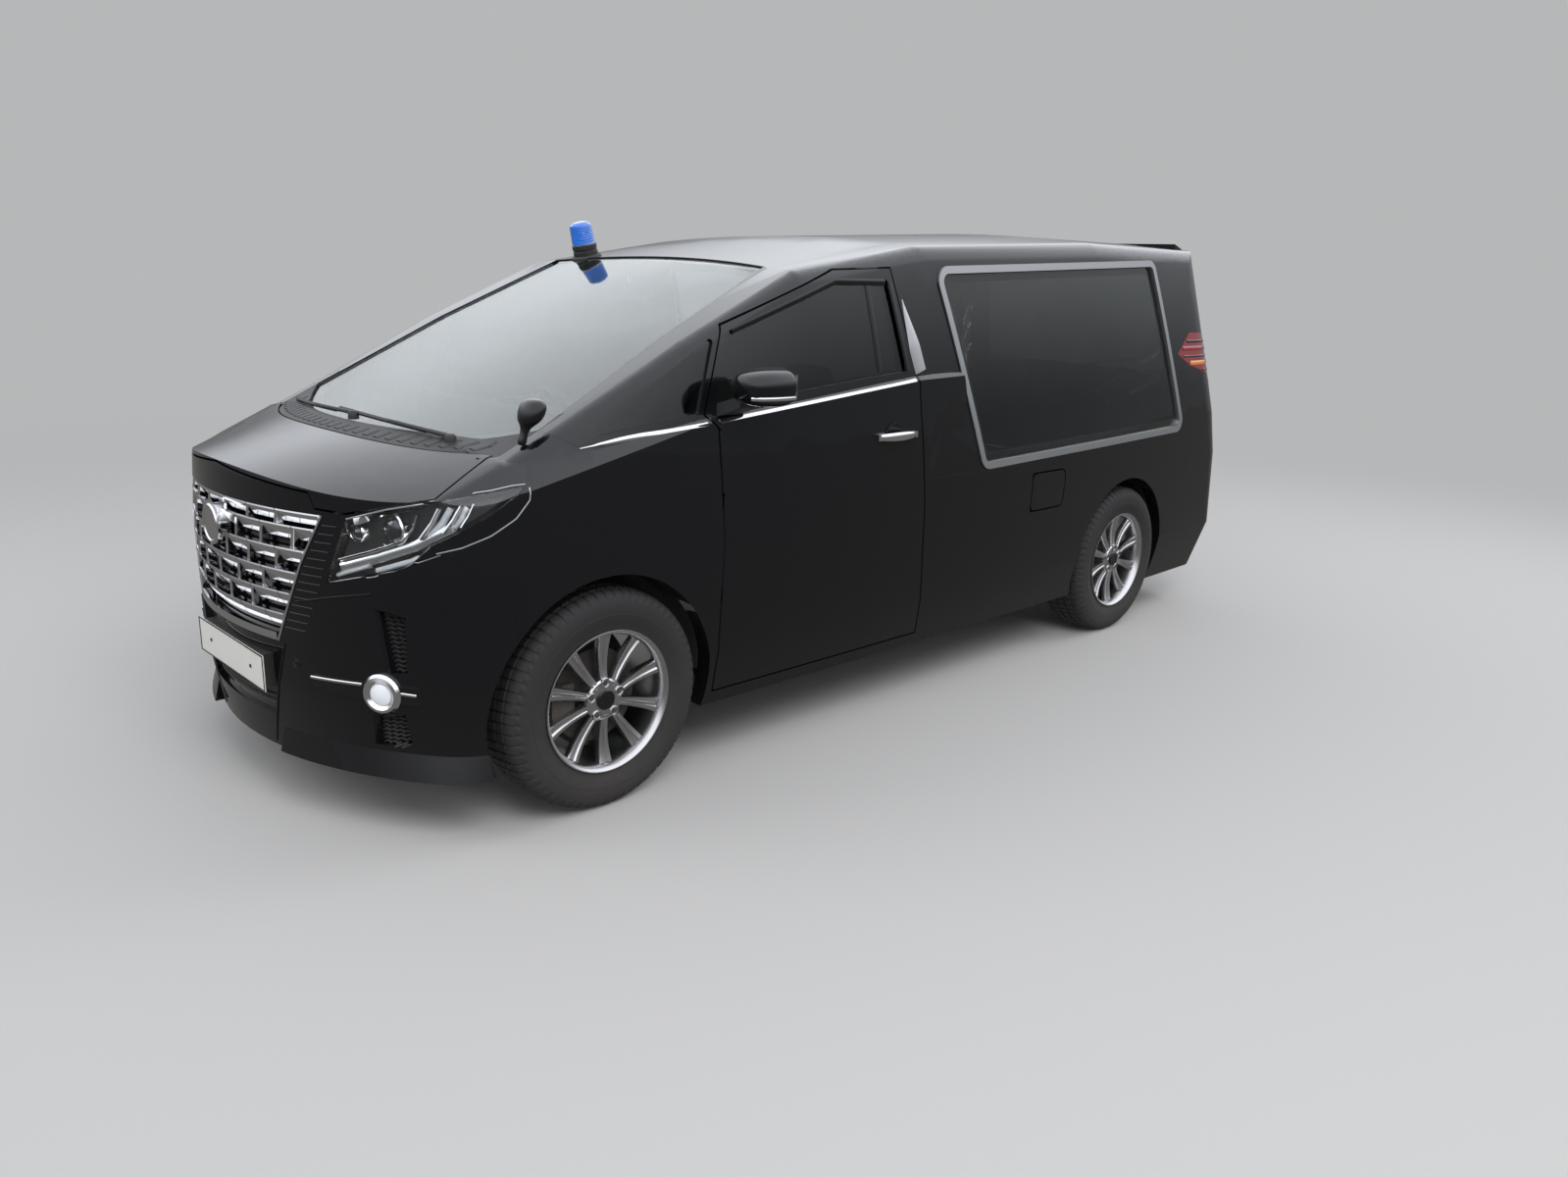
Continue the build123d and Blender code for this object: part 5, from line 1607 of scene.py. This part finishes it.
class HEARSE_OT_seats(bpy.types.Operator):
    """Two padded front seats with bolsters, headrests and their frames"""

    bl_idname = "hearse.seats"
    bl_label = "Front seats"

    def execute(self, context):
        for side, word in SIDES:
            y0, y1 = sorted((side * 0.135, side * 0.605))
            parts = [
                cushion((0.335, y0 + 0.045, 0.425), (0.795, y1 - 0.045, 0.556), 0.10),
                cushion((0.190, y0 + 0.050, 0.480), (0.322, y1 - 0.050, 1.124), 0.08),
                cushion((0.205, y0 + 0.125, 1.136), (0.295, y1 - 0.125, 1.286), 0.08),
            ]
            for y in (y0, y1 - 0.075):
                parts.append(cushion((0.340, y, 0.430), (0.780, y + 0.075, 0.560), 0.10))
                parts.append(cushion((0.200, y, 0.560), (0.328, y + 0.075, 1.060), 0.10))
            mesh = join_meshes(f"seat_{word}", parts)
            replaced = ["front_seats"] if side == 1 else ()
            leather = seat_leather()
            piece = add_piece(f"seat_{word}", mesh, "body", leather, replaced, smooth=70)
            modifier = piece.modifiers.new("Subdivide", "SUBSURF")
            modifier.levels = 1
            modifier.render_levels = 1
            frame_parts = Build()
            for y in (y0 + 0.10, y1 - 0.10):
                frame_parts.box((0.385, y - 0.015, 0.322), (0.735, y + 0.015, 0.420))
            for y in (y0 + 0.19, y1 - 0.19):
                frame_parts.tube([Vector((0.250, y, 1.09)), Vector((0.250, y, 1.17))], 0.006)
            frame_parts.piece(f"seat_frame_{word}", "body", dark_steel(), "seat_fabric")
        return {"FINISHED"}


WHEEL_TILT = math.radians(25)
WHEEL_CENTRE = (0.900, -0.370, 0.985)
WHEEL_RADIUS = 0.180
GRIP_RADIUS = 0.0145


class HEARSE_OT_cabin(bpy.types.Operator):
    """Steering wheel, instrument hood, screen, vents and inner mirror"""

    bl_idname = "hearse.cabin"
    bl_label = "Cabin"

    def execute(self, context):
        axis = Vector((-math.cos(WHEEL_TILT), 0, math.sin(WHEEL_TILT)))
        turn = Vector((0, 0, 1)).rotation_difference(axis).to_matrix().to_4x4()
        wheel = Build()
        rings = []
        for a in turns(64):
            ring = []
            for b in turns(12):
                r = WHEEL_RADIUS + GRIP_RADIUS * math.cos(b)
                ring.append(Vector((r * math.cos(a), r * math.sin(a), GRIP_RADIUS * math.sin(b))))
            rings.append(ring)
        wheel.loops(rings + [rings[0]], caps=False)
        wheel.lathe([(-0.014, 0.046), (0.008, 0.058), (0.014, 0.050), (0.016, 0.001)], axis="Z", segments=28)
        for a in (0, math.pi, -math.pi / 2):
            place = Matrix.Rotation(a, 4, "Z")
            wheel.box((0.040, -0.018, -0.008), (0.176, 0.018, 0.004), matrix=place)
        wheel.lathe([(-0.094, 0.0178), (-0.010, 0.0178)], axis="Z", segments=20)
        mesh = wheel.outward()
        mesh.transform(Matrix.Translation(WHEEL_CENTRE) @ turn)
        replaced = ["steering_wheel"]
        leather = seat_leather()
        add_piece("steering_wheel_rim", mesh, "steering_wheel", leather, replaced, smooth=40)

        dash = Build()
        dash.box((1.015, -0.56, 1.060), (1.14, -0.18, 1.068))
        hood = []
        for i in range(11):
            a = math.pi * i / 10
            ring = []
            for dx, s in ((0.0, 1.0), (0.11, 1.0), (0.11, 0.93), (0.0, 0.93)):
                y, z = -0.37 + 0.17 * math.cos(a) * s, 1.062 + 0.062 * math.sin(a) * s
                ring.append(Vector((1.02 + dx, y, z)))
            hood.append(ring)
        dash.loops(hood)
        dash.box((1.004, -0.09, 0.93), (1.010, 0.09, 1.045))
        dash.piece("dash_hood", "body", satin_black(), "plastic_black", smooth=30)
        screen = Build()
        screen.box((1.0015, -0.082, 0.938), (1.0045, 0.082, 1.037))
        screen.piece("dash_screen", "body", gloss_black(), "plastic_black", smooth=30)
        vents = Build()
        for y in (-0.66, -0.16, 0.16, 0.66):
            for k in range(5):
                vents.box((1.004, y - 0.045, 0.985 + k * 0.010), (1.012, y + 0.045, 0.989 + k * 0.010))
        vents.piece("dash_vents", "body", satin_black(), "plastic_black", smooth=30)
        point, _ = on_top(skin("windscreen"), 0.86, 0.0)
        mirror = Build()
        mirror.tube([point - Vector((0, 0, 0.008)), point - Vector((0.02, 0, 0.060))], 0.006)
        mirror.box((point.x - 0.035, -0.115, point.z - 0.100), (point.x - 0.012, 0.115, point.z - 0.050))
        mirror.piece("inner_mirror", "body", satin_black(), "plastic_black", smooth=30)
        return {"FINISHED"}


class HEARSE_OT_load_space(bpy.types.Operator):
    """Deck rails, rollers and side rails in the load space"""

    bl_idname = "hearse.load_space"
    bl_label = "Load space"

    def execute(self, context):
        rails = Build()
        for y in (-0.33, -0.11, 0.11, 0.33):
            rails.box((-2.16, y - 0.014, 0.598), (-0.05, y + 0.014, 0.612))
        for y in (-0.50, 0.50):
            rails.tube([Vector((-2.10, y, 0.632)), Vector((-0.05, y, 0.632))], 0.010)
            for k in range(6):
                x = -2.05 + k * 0.39
                rails.tube([Vector((x, y, 0.598)), Vector((x, y, 0.632))], 0.006)
        rails.piece("deck_rails", "body", bright_trim(), "plastic_black", smooth=40)
        rollers = Build()
        roller = [(-0.06, 0.004), (-0.06, 0.013), (0.06, 0.013), (0.06, 0.004)]
        for k in range(6):
            for y in (-0.22, 0.22):
                rollers.lathe(roller, (-2.02 + k * 0.37, y, 0.613), segments=20)
        rollers.piece("deck_rollers", "body", satin_black(), "plastic_black", smooth=40)
        return {"FINISHED"}


SKY = (0.92, 0.95, 1.0)
GROUND = (0.17, 0.165, 0.16)


def emission(tree, colour):
    node = tree.nodes.new("ShaderNodeEmission")
    node.inputs["Color"].default_value = (*colour, 1.0)
    return node.outputs[0]


def background(tree, colour, strength=1.0):
    node = tree.nodes.new("ShaderNodeBackground")
    node.inputs["Color"].default_value = (*colour, 1.0)
    node.inputs["Strength"].default_value = strength
    return node


def floor_finish():
    """A matt floor that turns into the backdrop's colour a few metres beyond the car."""
    floor = colours().floor
    mat = finish_of("Studio floor", floor, 0.8, dust=0.0, grain=60.0, bump=0.05, Specular_IOR_Level=0.2)
    tree = mat.node_tree
    shader, out = tree.nodes["Principled BSDF"], tree.nodes["Material Output"]
    away = tree.nodes.new("ShaderNodeVectorMath")
    away.operation = "LENGTH"
    tree.links.new(object_place(tree), away.inputs[0])
    fade = ranged(tree, away.outputs["Value"], (2.5, 11.0), (0.0, 1.0), "SMOOTHERSTEP")
    plain = mixed(tree, fade, shader.outputs[0], emission(tree, colours().backdrop))
    path = tree.nodes.new("ShaderNodeLightPath")
    surface = mixed(tree, path.outputs["Is Glossy Ray"], plain, emission(tree, GROUND))
    tree.links.new(surface, out.inputs["Surface"])
    return mat


def studio_world():
    """The backdrop's colour for the camera, soft sky light for the car, and a gradient for its gloss."""
    world = bpy.data.worlds.new("Studio")
    world.use_nodes = True
    tree = world.node_tree
    tree.nodes.clear()
    out = tree.nodes.new("ShaderNodeOutputWorld")
    seen = background(tree, colours().backdrop)
    lit = background(tree, SKY, 0.8)
    shown = background(tree, SKY)
    place = tree.nodes.new("ShaderNodeTexCoord")
    split = tree.nodes.new("ShaderNodeSeparateXYZ")
    tree.links.new(place.outputs["Generated"], split.inputs[0])
    height = ranged(tree, split.outputs["Z"], (0.02, 0.45), (0.22, 1.8), "SMOOTHSTEP")
    tree.links.new(height, shown.inputs["Strength"])
    path = tree.nodes.new("ShaderNodeLightPath")
    gloss = mixed(tree, path.outputs["Is Glossy Ray"], seen.outputs[0], shown.outputs[0])
    flag = maths(tree, "MAXIMUM", path.outputs["Is Camera Ray"], path.outputs["Is Glossy Ray"])
    flag = maths(tree, "MAXIMUM", flag, path.outputs["Is Transmission Ray"])
    tree.links.new(mixed(tree, flag, lit.outputs[0], gloss), out.inputs["Surface"])
    return world


# Soft lamps: name, place, size and power
LAMPS = [
    ("key", (3.0, 6.0, 6.5), 4.5, 420.0),
    ("fill", (6.5, -3.0, 4.0), 4.0, 140.0),
    ("back", (-6.0, 3.0, 5.0), 4.0, 180.0),
]


class HEARSE_OT_stage(bpy.types.Operator):
    """Pale floor, soft lamps, world and the camera"""

    bl_idname = "hearse.stage"
    bl_label = "Studio"

    def execute(self, context):
        scene = context.scene
        mesh = mesh_of("floor", [(-60, -60, 0), (60, -60, 0), (60, 60, 0), (-60, 60, 0)], [(0, 1, 2, 3)])
        floor = bpy.data.objects.new("floor", mesh)
        scene.collection.objects.link(floor)
        mesh.materials.append(floor_finish())
        scene.world = studio_world()

        for name, place, size, power in LAMPS:
            data = bpy.data.lights.new(name, "AREA")
            data.size = size
            data.energy = power
            lamp = bpy.data.objects.new(name, data)
            lamp.location = place
            aim = Vector((0, 0, 0.7)) - Vector(place)
            lamp.rotation_euler = aim.to_track_quat("-Z", "Y").to_euler()
            # The lamps light the car, and the bright patches in its gloss come from the world's gradient
            lamp.visible_glossy = False
            scene.collection.objects.link(lamp)

        # The photograph's camera
        azimuth, elevation, roll = -2.3569319, -0.26804, 0.0362884
        level = math.cos(elevation)
        ahead = Vector((level * math.cos(azimuth), level * math.sin(azimuth), math.sin(elevation)))
        right = ahead.cross(Vector((0, 0, 1))).normalized()
        up = right.cross(ahead)
        turned = right * math.cos(roll) + up * math.sin(roll)
        up = up * math.cos(roll) - right * math.sin(roll)
        focal_pixels, photo_width = 1180.0056, 1599
        data = bpy.data.cameras.new("camera")
        data.sensor_width = 36.0
        data.lens = data.sensor_width * focal_pixels / photo_width
        camera = bpy.data.objects.new("camera", data)
        rotation = Matrix((turned, up, -ahead)).transposed().to_4x4()
        camera.matrix_world = Matrix.Translation((3.57855, 3.60184, 1.639949)) @ rotation
        scene.collection.objects.link(camera)
        scene.camera = camera
        scene.view_settings.view_transform = "Standard"
        return {"FINISHED"}


class HEARSE_PT_panel(bpy.types.Panel):
    """Steps of the hearse, in order"""

    bl_idname = "HEARSE_PT_panel"
    bl_label = "Hearse"
    bl_space_type = "VIEW_3D"
    bl_region_type = "UI"
    bl_category = "Hearse"

    def draw(self, context):
        for step in STEPS:
            self.layout.operator(step.bl_idname)
        for group in (context.scene.hearse_sizes, context.scene.hearse_colours):
            for name in group.bl_rna.properties.keys():
                if name not in ("name", "rna_type"):
                    self.layout.prop(group, name)


STEPS = [
    HEARSE_OT_body,
    HEARSE_OT_tyres,
    HEARSE_OT_rims,
    HEARSE_OT_grille,
    HEARSE_OT_lamps,
    HEARSE_OT_side_trims,
    HEARSE_OT_load_windows,
    HEARSE_OT_mirrors,
    HEARSE_OT_handles,
    HEARSE_OT_beacon,
    HEARSE_OT_wipers,
    HEARSE_OT_nose_details,
    HEARSE_OT_rear_details,
    HEARSE_OT_seats,
    HEARSE_OT_cabin,
    HEARSE_OT_load_space,
    HEARSE_OT_stage,
]


def register():
    for item in [HearseSizes, HearseColours] + STEPS + [HEARSE_PT_panel]:
        bpy.utils.register_class(item)
    bpy.types.Scene.hearse_sizes = PointerProperty(type=HearseSizes)
    bpy.types.Scene.hearse_colours = PointerProperty(type=HearseColours)


def unregister():
    del bpy.types.Scene.hearse_colours
    del bpy.types.Scene.hearse_sizes
    for item in reversed([HearseSizes, HearseColours] + STEPS + [HEARSE_PT_panel]):
        bpy.utils.unregister_class(item)


def main():
    register()
    for step in STEPS:
        group, name = step.bl_idname.split(".")
        getattr(getattr(bpy.ops, group), name)()


if __name__ == "__main__":
    main()
